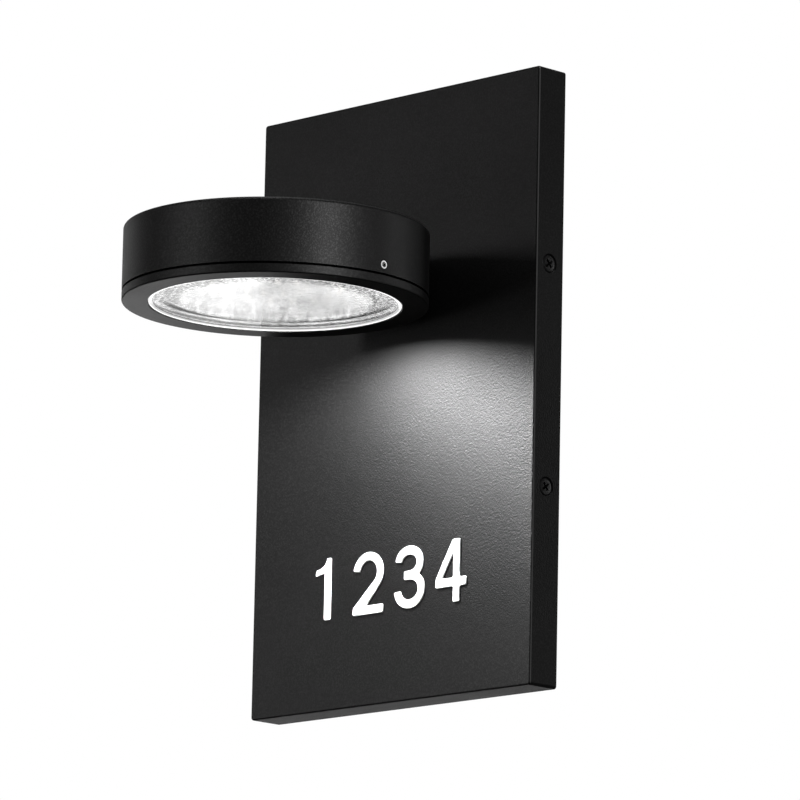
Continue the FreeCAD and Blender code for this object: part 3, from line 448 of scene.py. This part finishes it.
def grained(name, looks):
    """A finish with grain in its colour, roughness and bump. Returns it with its shader."""
    dark, light, rough, grain, others = looks
    others = {**usual_looks, **others}
    material = bpy.data.materials.new(name)
    material.use_nodes = True
    tree = material.node_tree
    shader = tree.nodes["Principled BSDF"]
    surface = add_node(tree, "ShaderNodeGroup", {
        "Place": place_on_piece(tree), "Stretch": others["stretch"], "Grain Scale": grain,
        "Cloud Scale": others["cloud"], "Dark Colour": (*dark, 1), "Light Colour": (*light, 1),
        "Low Roughness": rough[0], "High Roughness": rough[1]},
        node_tree=SURFACE_GRAIN).outputs
    raised = add_node(tree, "ShaderNodeBump", {
        "Strength": others["bump"], "Distance": others["depth"], "Height": surface["Height"]})
    set_inputs(tree, shader, {
        "Base Color": surface["Colour"], "Roughness": surface["Roughness"],
        "Normal": raised.outputs["Normal"], "Metallic": others["metallic"],
        "Specular IOR Level": others["specular"]})
    return material, shader


def make_lens_glass():
    """Clear pressed glass with stipple in it and a painted glow in its rim, which stands in for
    light caught in the glass. Lamp light passes it as if it were open."""
    material, shader = grained("lens_glass", own_looks["lens_glass"])
    tree = material.node_tree
    place = place_on_piece(tree)
    radius = distance_from(tree, place, drum_axis, (1, 1, 0))
    height = parts_of(tree, place)["Z"]
    rim_start = lens_plug_radius - lens_rim_width - lens_slope_width
    # Painted light: the rim of the glass glows by emission, standing in for light caught in it.
    rim = calculated(
        tree, "MULTIPLY", ramped(tree, radius, rim_start, rim_start + lens_rim_painted_glow_edge),
        ramped(tree, height, lens_face, lens_face + lens_rim_painted_glow_edge, 1, 0))
    ring = calculated(
        tree, "MULTIPLY",
        ramped(tree, radius, lens_stipple_inner, lens_stipple_inner + lens_stipple_inner_edge),
        ramped(tree, radius, lens_stipple_outer, lens_stipple_outer + lens_stipple_outer_edge,
               1, 0))
    stippled = calculated(
        tree, "MULTIPLY", calculated(tree, "MAXIMUM", ring, lens_stipple_faint),
        ramped(tree, height, lens_face - 2 * soft_edge, lens_face - soft_edge))
    set_inputs(tree, shader, {
        "Base Color": mixed_colour(
            tree, stippled, source_of(shader.inputs["Base Color"]),
            as_colour(tree, speckle(tree, place, lens_stipple_scale))),
        "Transmission Weight": 1, "IOR": glass_refraction,
        "Emission Color": as_colour(tree, rim), "Emission Strength": lens_rim_painted_glow})
    in_shadow = add_node(tree, "ShaderNodeLightPath").outputs["Is Shadow Ray"]
    see_through(tree, in_shadow, shader.outputs["BSDF"])
    return material


def make_reflector_metal():
    """Pale satin reflector with a painted glow, in patches and speckle, that stands in for the
    light of the LEDs in its windows.
    """
    material, shader = grained("reflector_metal", own_looks["reflector_metal"])
    tree = material.node_tree
    place = place_on_piece(tree)
    painted_light_patches = ramped(
        tree, noise(tree, place, reflector_patch_scale, reflector_patch_detail),
        *reflector_patch_heights, *reflector_patch_tones)
    flat_start, flat_stop = [
        reflector_low.z + share * (reflector_high.z - reflector_low.z)
        for share in reflector_flat_shares]
    # Painted light: emission patches on the flat and speckle on the rim, for the LEDs' light on
    # the reflector.
    light = add_node(tree, "ShaderNodeMix", {
        "Factor": ramped(tree, parts_of(tree, place)["Z"], flat_start, flat_stop),
        "A": speckle(tree, place, reflector_speckle_scale), "B": painted_light_patches}).outputs["Result"]
    set_inputs(tree, shader, {
        "Emission Color": as_colour(tree, light), "Emission Strength": reflector_painted_glow})
    return material


def make_lit_steel():
    """Steel with a painted glow that stands in for the light of the LEDs on it."""
    material, shader = grained("painted_glow_steel", own_looks["painted_glow_steel"])
    set_inputs(material.node_tree, shader, {
        "Emission Color": (*grey(1), 1), "Emission Strength": steel_painted_glow})
    return material


def make_grub_steel():
    """Bright steel in a ring round a grub screw's key hole, near-black outside the ring, and
    painted shade inside it over the key hole.
    """
    material, shader = grained("grub_steel", own_looks["grub_steel"])
    tree = material.node_tree
    low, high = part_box("bezel_grub_screws")
    centre = (0, (low.y + high.y) / 2, (low.z + high.z) / 2)
    radius = distance_from(tree, place_on_piece(tree), centre, (0, 1, 1))
    inner = grub_ring_radius - grub_ring_width
    bright = calculated(
        tree, "MULTIPLY",
        ramped(tree, radius, grub_ring_radius, grub_ring_radius + soft_edge, 1, 0),
        ramped(tree, radius, inner, inner + soft_edge))
    # The near-black inside the ring is painted shade in the key hole; outside the ring it is
    # only darker steel.
    set_inputs(tree, shader, {"Base Color": mixed_colour(
        tree, bright, (*grey(grub_dark_tone), 1), source_of(shader.inputs["Base Color"]))})
    return material


def make_led_glow():
    """The lit dome of an LED."""
    material, shader = grained("led_glow", own_looks["led_glow"])
    set_inputs(material.node_tree, shader, {
        "Emission Color": led_glow_colour, "Emission Strength": led_glow})
    return material


def make_black_coat():
    """Black powder coat with grain, specks in its gloss and a painted highlight on its front
    corners, from a glossier strip.
    """
    material, shader = grained("black_coat", own_looks["black_coat"])
    tree = material.node_tree
    raised = source_of(shader.inputs["Normal"]).node
    height = source_of(raised.inputs["Height"])
    place = place_on_piece(tree)
    parts = parts_of(tree, place)
    # Painted highlight: a strip of extra gloss on the cover's front corners.
    side = plate_high.x - corner_highlight_width
    front = plate_low.y + corner_highlight_depth
    corner = calculated(
        tree, "MULTIPLY",
        ramped(tree, calculated(tree, "ABSOLUTE", parts["X"]), side - soft_edge, side, 0,
               corner_highlight_weight),
        ramped(tree, parts["Y"], front, front + soft_edge, 1, 0))
    specks = ramped(tree, height, *coat_speck_heights, 0, coat_speck_weight)
    away = distance_from(tree, place, coat_grain_middle,
                         (1 / coat_grain_reach[0], 0, 1 / coat_grain_reach[1]))
    grain = ramped(tree, away, *coat_grain_fade, 1, coat_grain_faint)
    set_inputs(tree, raised, {"Height": calculated(tree, "MULTIPLY", height, grain)})
    set_inputs(tree, shader, {
        "Coat Weight": calculated(tree, "MAXIMUM", specks, corner),
        "Coat Roughness": coat_gloss_roughness})
    return material


MATERIALS = {"black_coat": make_black_coat()}
for plain_name, plain_look in plain_looks.items():
    MATERIALS[plain_name] = grained(plain_name, plain_look)[0]
MATERIALS |= {
    "lens_glass": make_lens_glass(),
    "reflector_metal": make_reflector_metal(),
    "led_glow": make_led_glow(),
    "painted_glow_steel": make_lit_steel(),
    "grub_steel": make_grub_steel(),
}
own_finishes = {"board_screws": "painted_glow_steel", "bezel_grub_screws": "grub_steel"}


def dress_nodes():
    """Gives each CAD node the finished material of its slot."""
    for name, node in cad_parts.items():
        for slot in node.material_slots:
            finish = own_finishes.get(name, slot.material.name.split(".")[0])
            slot.material = MATERIALS[finish]


def add_object(name, data):
    """An object in the scene."""
    added = bpy.data.objects.new(name, data)
    bpy.context.scene.collection.objects.link(added)
    return added


def add_piece(name, mesh, material, body):
    """A finished piece at the origin that rides on a body."""
    piece = add_object(name, mesh)
    mesh.materials.clear()
    mesh.materials.append(MATERIALS[material])
    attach(piece, body)
    return piece


def evaluated_mesh(holder):
    """The plain mesh that an object shows, with the object then taken away."""
    graph = bpy.context.evaluated_depsgraph_get()
    mesh = bpy.data.meshes.new_from_object(holder.evaluated_get(graph))
    bpy.data.objects.remove(holder)
    return mesh


def way_to(azimuth, elevation):
    """The direction from the part to an azimuth and elevation in degrees."""
    turn, rise = math.radians(azimuth), math.radians(elevation)
    return Vector((math.sin(turn) * math.cos(rise), -math.cos(turn) * math.cos(rise),
                   math.sin(rise)))


def make_camera():
    """The camera, turned and rolled as in the photograph."""
    roll = math.radians(camera_roll)
    back = way_to(camera_azimuth, camera_elevation)
    level = Vector((0, 0, 1)).cross(back).normalized()
    rise = back.cross(level)
    right = level * math.cos(roll) + rise * math.sin(roll)
    above = rise * math.cos(roll) - level * math.sin(roll)
    data = bpy.data.cameras.new("camera")
    data.lens = camera_lens
    data.sensor_width = sensor_width
    data.clip_end = camera_reach
    camera = add_object("camera", data)
    turn = Matrix((right, above, back)).transposed().to_4x4()
    camera.matrix_world = Matrix.Translation(camera_aim + back * camera_distance) @ turn
    bpy.context.scene.camera = camera


def arc(centre, across, upward, start, stop, steps=numeral_arc_steps):
    """Points along part of an ellipse, by angles in degrees."""
    points = []
    for step in range(steps + 1):
        turn = math.radians(start + (stop - start) * step / steps)
        points.append((centre[0] + across * math.cos(turn), centre[1] + upward * math.sin(turn)))
    return points


def numeral_outlines():
    """The outlines of the numerals 1 to 4 about their middles, as shares of their height, width
    and stroke. A second outline is a hole."""
    high, wide, stroke = numeral_height / 2, numeral_width / 2, numeral_stroke
    one = [(stroke / 2, -high), (stroke / 2, high)]
    one += arc((-2 * stroke, high), 1.85 * stroke, 1.26 * stroke, 0, -86,
               numeral_flag_steps)
    one += [(-2 * stroke, high - 2 * stroke), (-stroke / 2, high - 1.68 * stroke),
            (-stroke / 2, -high)]
    bowl = (0, high - wide)
    two = arc(bowl, wide, wide, 172, -36)
    two += [(stroke - 0.55 * wide, stroke - high), (wide, stroke - high), (wide, -high),
            (-wide, -high), (-wide, 0.85 * stroke - high)]
    two += arc(bowl, wide - stroke, wide - stroke, -36, 172)
    waist = 0.06 * high
    top = (-0.03 * wide, (high + waist) / 2 - stroke / 4)
    low = (0, (waist - high) / 2 + stroke / 4)
    top_rise, low_rise = high - top[1], low[1] + high
    three = arc(top, 0.92 * wide, top_rise, 174, -48)
    three += arc(low, wide, low_rise, 50, -176)
    three += arc(low, wide - stroke, low_rise - stroke, -176, 82)
    three += [(-0.36 * wide, waist - stroke / 2), (-0.36 * wide, waist + stroke / 2)]
    three += arc(top, 0.92 * wide - stroke, top_rise - stroke, -82, 174)
    right = 0.56 * wide
    shelf = -0.5 * high
    four = [(right - stroke, -high), (right, -high), (right, shelf), (wide, shelf),
            (wide, shelf + stroke), (right, shelf + stroke), (right, high),
            (right - 1.15 * stroke, high), (-wide, shelf + stroke),
            (-wide, shelf), (right - stroke, shelf)]
    gap = [(right - stroke, shelf + stroke), (right - stroke, 0.6 * high),
           (-0.62 * wide, shelf + stroke)]
    return {"1": [one], "2": [two], "3": [three], "4": [four, gap]}


def rounded(points, radius):
    """An outline with its sharp corners rounded."""
    result = []
    for index, (x, y) in enumerate(points):
        corner = Vector((x, y))
        before = Vector(points[index - 1]) - corner
        after = Vector(points[(index + 1) % len(points)]) - corner
        if before.angle(after) > math.radians(numeral_sharpest_arc):
            result.append(corner)
            continue
        start = corner + before * min(radius / before.length, numeral_corner_share)
        stop = corner + after * min(radius / after.length, numeral_corner_share)
        for step in range(numeral_corner_steps + 1):
            share = step / numeral_corner_steps
            result.append(start.lerp(corner, share).lerp(corner.lerp(stop, share), share))
    return result


def make_numerals():
    """Raised white numerals, one piece each, set on the plate."""
    outlines = numeral_outlines()
    start = -(len(numeral_text) - 1) / 2
    for index, character in enumerate(numeral_text):
        curve = bpy.data.curves.new("numeral", "CURVE")
        curve.dimensions = "2D"
        curve.fill_mode = "BOTH"
        curve.extrude = numeral_depth / 2 - numeral_bevel
        curve.bevel_depth = numeral_bevel
        curve.offset = -numeral_bevel
        curve.bevel_resolution = numeral_bevel_steps
        for outline in outlines[character]:
            points = rounded(outline, numeral_corner)
            spline = curve.splines.new("POLY")
            spline.points.add(len(points) - 1)
            for point, place in zip(spline.points, points):
                point.co = (place.x, place.y, 0, 1)
            spline.use_cyclic_u = True
        mesh = evaluated_mesh(add_object("numeral", curve))
        centre = (start + index) * numeral_pitch
        for vertex in mesh.vertices:
            x, y, z = vertex.co
            vertex.co = (centre + x, plate_front - numeral_depth / 2 - z, numeral_middle + y)
        name = "numeral_" + str(index + 1)
        add_piece(name, mesh, "numeral_white", "lamp_body")


def circle_points(axis, radius, count):
    """Points (x, y) spread evenly on a circle round an upright axis."""
    turns = [2 * math.pi * step / count for step in range(count)]
    return [(axis.x + radius * math.cos(turn), axis.y + radius * math.sin(turn))
            for turn in turns]


def lathed_mesh(name, profile, axis):
    """A closed body turned round an upright axis, from (radius, height) points on it."""
    verts, faces, rings = [], [], []
    for radius, height in profile:
        if radius == 0:
            rings.append([len(verts)])
            verts.append((axis.x, axis.y, height))
            continue
        rings.append(list(range(len(verts), len(verts) + lathe_steps)))
        verts += [(x, y, height) for x, y in circle_points(axis, radius, lathe_steps)]
    for first, second in zip(rings, rings[1:]):
        for step in range(lathe_steps):
            after = (step + 1) % lathe_steps
            if len(first) == 1:
                faces.append((first[0], second[after], second[step]))
            elif len(second) == 1:
                faces.append((first[step], first[after], second[0]))
            else:
                faces.append((first[step], first[after], second[after], second[step]))
    mesh = bpy.data.meshes.new(name)
    mesh.from_pydata(verts, [], faces)
    mesh.shade_smooth()
    mesh.set_sharp_from_angle(angle=math.radians(lathe_sharp_angle))
    return mesh


def make_lens():
    """The pressed glass with its raised rim, a step inside it and a dished back."""
    plug, low = lens_plug_radius, lens_rim_foot
    flange = (lens_high.x - lens_low.x) / 2
    top = lens_high.z
    back = top - lens_back_rise
    inner = plug - lens_rim_width
    profile = [(0, lens_face), (lens_face_share * inner, lens_face),
               (inner - lens_slope_width, lens_face), (inner, low),
               (plug - lens_rim_round, low), (plug, low + lens_rim_round),
               (plug, top - lens_flange_depth), (flange, top - lens_flange_depth),
               (flange, top)]
    for step in range(lens_back_steps + 1):
        share = step / lens_back_steps
        fall = (1 + math.cos(math.pi * share)) / 2
        profile.append((flange * (lens_back_start - lens_back_fall * share),
                        back + lens_back_rise * fall))
    profile += [(lens_back_middle * flange, back), (0, back)]
    piece = add_piece("pressed_lens", lathed_mesh("pressed_lens", profile, drum_axis),
                      "lens_glass", "bezel")
    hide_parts("glass_lens")


def cross_headed_screw():
    """One side screw's head, face up at the origin, with a cross cut in it."""
    radius, crown = screw_head_radius, screw_head_crown
    profile = [(0, -screw_head_depth), (screw_head_foot_share * radius, -screw_head_depth)]
    profile += [(radius - inward * screw_head_edge, -down * screw_head_edge)
                for inward, down in screw_edge_shares]
    profile += [(radius * share, crown * (1 - share * share) * screw_crown_flatness)
                for share in screw_crown_shares]
    holder = add_object("screw_head", lathed_mesh("screw_head", profile, Vector()))
    foot_length, foot_width = screw_cross_foot_shares
    arms = []
    for turn in (screw_cross_turn, screw_cross_turn + 90):
        cutter = bmesh.new()
        bmesh.ops.create_cube(cutter, size=2)
        for vertex in cutter.verts:
            deep = vertex.co.z < 0
            vertex.co.x *= screw_cross_span / 2 * (foot_length if deep else 1)
            vertex.co.y *= screw_cross_width / 2 * (foot_width if deep else 1)
            vertex.co.z = -screw_cross_depth if deep else 2 * crown
        bmesh.ops.rotate(cutter, verts=cutter.verts,
                         matrix=Matrix.Rotation(math.radians(turn), 3, "Z"))
        mesh = bpy.data.meshes.new("cross_arm")
        cutter.to_mesh(mesh)
        cutter.free()
        arms.append(add_object("cross_arm", mesh))
        cut = holder.modifiers.new("cross", "BOOLEAN")
        cut.object = arms[-1]
        cut.solver = "EXACT"
    mesh = evaluated_mesh(holder)
    for arm in arms:
        bpy.data.objects.remove(arm)
    mesh.set_sharp_from_angle(angle=math.radians(screw_sharp_angle))
    return mesh


def set_out(tree, leave, points, piece, rotation, material):
    """Sets a piece on every point, makes all of them real and gives them a material."""
    placed = add_node(tree, "GeometryNodeInstanceOnPoints", {
        "Points": points, "Instance": piece, "Rotation": rotation})
    real = add_node(tree, "GeometryNodeRealizeInstances", {
        "Geometry": placed.outputs["Instances"]})
    finished = add_node(tree, "GeometryNodeSetMaterial", {
        "Geometry": real.outputs["Geometry"], "Material": material})
    linked(tree, finished.outputs["Geometry"], leave["Geometry"])


def screw_tree():
    """Sets a screw head on every point, turned to face the way that the point gives."""
    tree, enter, leave = new_group(
        "GeometryNodeTree", "screw_heads",
        {"Points": "Geometry", "Head": "Object", "Material": "Material"},
        {"Geometry": "Geometry"})
    head = add_node(tree, "GeometryNodeObjectInfo", {"Object": enter["Head"]})
    facing = add_node(tree, "GeometryNodeInputNamedAttribute", {"Name": "facing"},
                      data_type="FLOAT_VECTOR")
    turned = add_node(tree, "FunctionNodeAlignRotationToVector", {
        "Vector": facing.outputs["Attribute"]}, axis="Z")
    set_out(tree, leave, enter["Points"], head.outputs["Geometry"], turned.outputs["Rotation"],
            enter["Material"])
    return tree


def run_tree(name, tree, inputs, material, body, start=None):
    """The mesh that a Geometry Nodes tree makes from named inputs, as a piece."""
    holder = add_object(name, start or bpy.data.meshes.new(name))
    modifier = holder.modifiers.new(name, "NODES")
    modifier.node_group = tree
    for item in tree.interface.items_tree:
        if item.item_type == "SOCKET" and item.in_out == "INPUT" and item.name in inputs:
            modifier[item.identifier] = inputs[item.name]
    return add_piece(name, evaluated_mesh(holder), material, body)


def make_side_screws():
    """The four black screws in the cover's sides."""
    places, ways = [], []
    for side in (-1, 1):
        for level in (-1, 1):
            places.append((side * (plate_high.x - screw_head_sunk),
                           (plate_low.y + plate_high.y) / 2, level * side_screw_height))
            ways += (side, 0, 0)
    points = bpy.data.meshes.new("side_screws")
    points.from_pydata(places, [], [])
    points.attributes.new("facing", "FLOAT_VECTOR", "POINT").data.foreach_set("vector", ways)
    head = add_object("screw_head", cross_headed_screw())
    piece = run_tree("side_screws", screw_tree(),
                     {"Head": head, "Material": MATERIALS["black_steel"]}, "black_steel",
                     "lamp_body", points)
    bpy.data.objects.remove(head)
    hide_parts("cover_screws")


def make_lead(name, route, radius, material, node):
    """A round lead along a smooth route, as one piece that stands for a CAD node."""
    curve = bpy.data.curves.new(name, "CURVE")
    curve.dimensions = "3D"
    curve.bevel_depth = radius
    curve.bevel_resolution = lead_round_steps
    curve.use_fill_caps = True
    spline = curve.splines.new("NURBS")
    spline.points.add(len(route) - 1)
    for point, place in zip(spline.points, route):
        point.co = (*(Vector(place) * MM), 1)
    spline.order_u = lead_curve_order
    spline.use_endpoint_u = True
    spline.resolution_u = lead_curve_steps
    piece = add_piece(name, evaluated_mesh(add_object(name, curve)), material, "lamp_body")
    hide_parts(node)


def make_leads():
    """The driver's lead, its cores, the earth lead and the board's lead."""
    make_lead("driver_lead_sleeve", driver_lead_route, driver_lead_radius, "lead_sheath",
              "driver_lead")
    make_lead("live_core", live_core_route, core_radius, "core_sheath", "lead_cores")
    make_lead("neutral_core", neutral_core_route, core_radius, "neutral_sheath", "lead_cores")
    make_lead("earth_core", earth_lead_route, core_radius, "earth_sheath", "earth_lead")
    make_lead("board_lead_sleeve", board_lead_route, board_lead_radius, "lead_sheath",
              "board_lead")


def led_tree(name, sides, layers, turn):
    """A ring of LED bases, or of the domes on them, facing down and built up in layers."""
    tree, enter, leave = new_group(
        "GeometryNodeTree", name,
        {"Count": "Int", "Ring Radius": "Float", "Size": "Float", "Depth": "Float",
         "Centre": "Vector", "Material": "Material"},
        {"Geometry": "Geometry"})
    ring = add_node(tree, "GeometryNodeMeshCircle", {
        "Vertices": enter["Count"], "Radius": enter["Ring Radius"]})
    placed = add_node(tree, "GeometryNodeSetPosition", {
        "Geometry": ring.outputs["Mesh"], "Offset": enter["Centre"]})
    profile = add_node(tree, "GeometryNodeMeshCircle", {
        "Vertices": sides, "Radius": enter["Size"]}, fill_type="NGON")
    shape, top = profile.outputs["Mesh"], True
    for rise, narrow in layers:
        raised = add_node(tree, "GeometryNodeExtrudeMesh", {
            "Mesh": shape, "Selection": top,
            "Offset Scale": calculated(tree, "MULTIPLY", enter["Depth"], rise)})
        top = raised.outputs["Top"]
        narrowed = add_node(tree, "GeometryNodeScaleElements", {
            "Geometry": raised.outputs["Mesh"], "Selection": top, "Scale": narrow})
        shape = narrowed.outputs["Geometry"]
    set_out(tree, leave, placed.outputs["Geometry"], shape, (math.pi, 0, turn),
            enter["Material"])
    return tree


def make_leds():
    """The LEDs on the board, ring by ring: square bases with glowing domes."""
    dome_start = board_low.z - led_base_depth
    base_tree = led_tree("led_bases", led_base_sides, led_base_layers, math.pi / led_base_sides)
    dome_tree = led_tree("led_domes", led_dome_sides, led_dome_layers, 0)
    layers = (
        ("led_bases_", base_tree, led_base_size / math.sqrt(2), led_base_depth, board_low.z,
         "led_ceramic"),
        ("led_domes_", dome_tree, led_dome_radius, dome_start - leds_low.z, dome_start,
         "led_glow"))
    for count, share in zip(led_ring_counts, led_ring_shares):
        for name, tree, size, depth, height, finish in layers:
            piece = run_tree(
                name + str(count), tree,
                {"Count": count, "Ring Radius": board_radius * share, "Size": size,
                 "Depth": depth, "Centre": (drum_axis.x, drum_axis.y, height),
                 "Material": MATERIALS[finish]}, finish, "lamp_body")
            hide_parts("led_packages")


def add_lamp(name, kind, place, power, hidden_from, **settings):
    """A lamp that neither the camera nor the named kinds of ray see."""
    data = bpy.data.lights.new(name, kind)
    for label, value in settings.items():
        setattr(data, label, value)
    data.energy = power
    lamp = add_object(name, data)
    lamp.location = place
    for ray in ("camera", *hidden_from):
        setattr(lamp, "visible_" + ray, False)
    return lamp


def receivers(name, pieces):
    """A collection of the nodes and pieces that a lamp lights alone."""
    lit = bpy.data.collections.new(name)
    for piece in pieces:
        lit.objects.link(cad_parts.get(piece) or bpy.data.objects[piece])
    return lit


def make_throw():
    """Small lamps under the outer LED ring, which light the plate through the opening as gloss,
    and a soft one for the numerals."""
    numerals = ["numeral_" + str(index + 1) for index in range(len(numeral_text))]
    lit = receivers("lit_by_the_leds", ("cover_box", "bezel_ring", "side_screws", *numerals))
    ring_radius = board_radius * led_ring_shares[0]
    for x, y in circle_points(drum_axis, ring_radius, led_ring_counts[0]):
        lean = (Vector((x, y, 0)) - drum_axis).normalized().dot(throw_lean)
        lamp = add_lamp(
            "throw", "SPOT", (x, y, throw_height), throw_power * max(0, 1 + lean),
            ("transmission", "diffuse"), spot_size=math.radians(throw_angle),
            spot_blend=throw_blend, shadow_soft_size=throw_size / 2)
        lamp.light_linking.receiver_collection = lit
    lamp = add_lamp(
        "throw_fill", "AREA", drum_axis + Vector((0, 0, throw_height)), fill_power,
        ("transmission", "glossy"), shape="DISK", size=2 * fill_radius)
    lamp.light_linking.receiver_collection = receivers("lit_numerals", numerals)


def make_floor():
    """A plain pale floor that is open from below."""
    mesh = bpy.data.meshes.new("floor")
    reach = floor_reach
    mesh.from_pydata(
        [(-reach, -reach, floor_height), (reach, -reach, floor_height),
         (reach, reach, floor_height), (-reach, reach, floor_height)], [], [(0, 1, 2, 3)])
    floor = add_object("floor", mesh)
    material = bpy.data.materials.new("floor")
    material.use_nodes = True
    tree = material.node_tree
    shader = tree.nodes["Principled BSDF"]
    set_inputs(tree, shader, {"Base Color": floor_tone, "Roughness": floor_roughness})
    path = add_node(tree, "ShaderNodeLightPath").outputs
    in_gloss = calculated(tree, "MULTIPLY", path["Is Glossy Ray"], floor_glow_in_gloss)
    seen = calculated(tree, "MAXIMUM", path["Is Camera Ray"], path["Is Transmission Ray"])
    glow = add_node(tree, "ShaderNodeEmission", {
        "Strength": calculated(tree, "MULTIPLY_ADD", seen, floor_glow, in_gloss)})
    paled = add_node(tree, "ShaderNodeAddShader", {
        0: shader.outputs["BSDF"], 1: glow.outputs["Emission"]})
    from_below = add_node(tree, "ShaderNodeNewGeometry").outputs["Backfacing"]
    see_through(tree, from_below, paled.outputs["Shader"])
    mesh.materials.append(material)


def make_world():
    """A white surround for camera, gloss and glass, and a plain level of fill."""
    world = bpy.data.worlds.new("studio")
    bpy.context.scene.world = world
    world.use_nodes = True
    tree = world.node_tree
    path = add_node(tree, "ShaderNodeLightPath").outputs
    seen = calculated(tree, "MAXIMUM", path["Is Camera Ray"], path["Is Glossy Ray"])
    seen = calculated(tree, "MAXIMUM", seen, path["Is Transmission Ray"])
    set_inputs(tree, tree.nodes["Background"], {
        "Color": (*grey(1), 1), "Strength": ramped(tree, seen, 0, 1, world_light, 1)})


def add_softbox(name, azimuth, elevation, width, height, power, hidden_from=()):
    """An area lamp that faces the light from a direction."""
    back = way_to(azimuth, elevation)
    lamp = add_lamp(name, "AREA", plate_centre + back * studio_distance, power, hidden_from,
                    shape="RECTANGLE", size=width, size_y=height)
    lamp.rotation_mode = "QUATERNION"
    lamp.rotation_quaternion = back.to_track_quat("Z", "Y")
    return lamp


def make_studio_lights():
    """A soft light from above, and the sheens on the coat."""
    add_softbox("top_fill", *top_fill)
    groups = ((drum_pieces, drum_sheens), (plate_pieces, plate_sheens),
              (screw_pieces, screw_sheens))
    for pieces, sheens in groups:
        lit = receivers("sheen_on_" + pieces[0], pieces)
        for name, placing in sheens.items():
            lamp = add_softbox(name, *placing, hidden_from=("diffuse",))
            lamp.light_linking.receiver_collection = lit


make_camera()
dress_nodes()
make_numerals()
make_lens()
make_side_screws()
make_leads()
make_leds()
make_throw()
make_floor()
make_world()
make_studio_lights()

scene = bpy.context.scene
scene.view_settings.view_transform = "Standard"
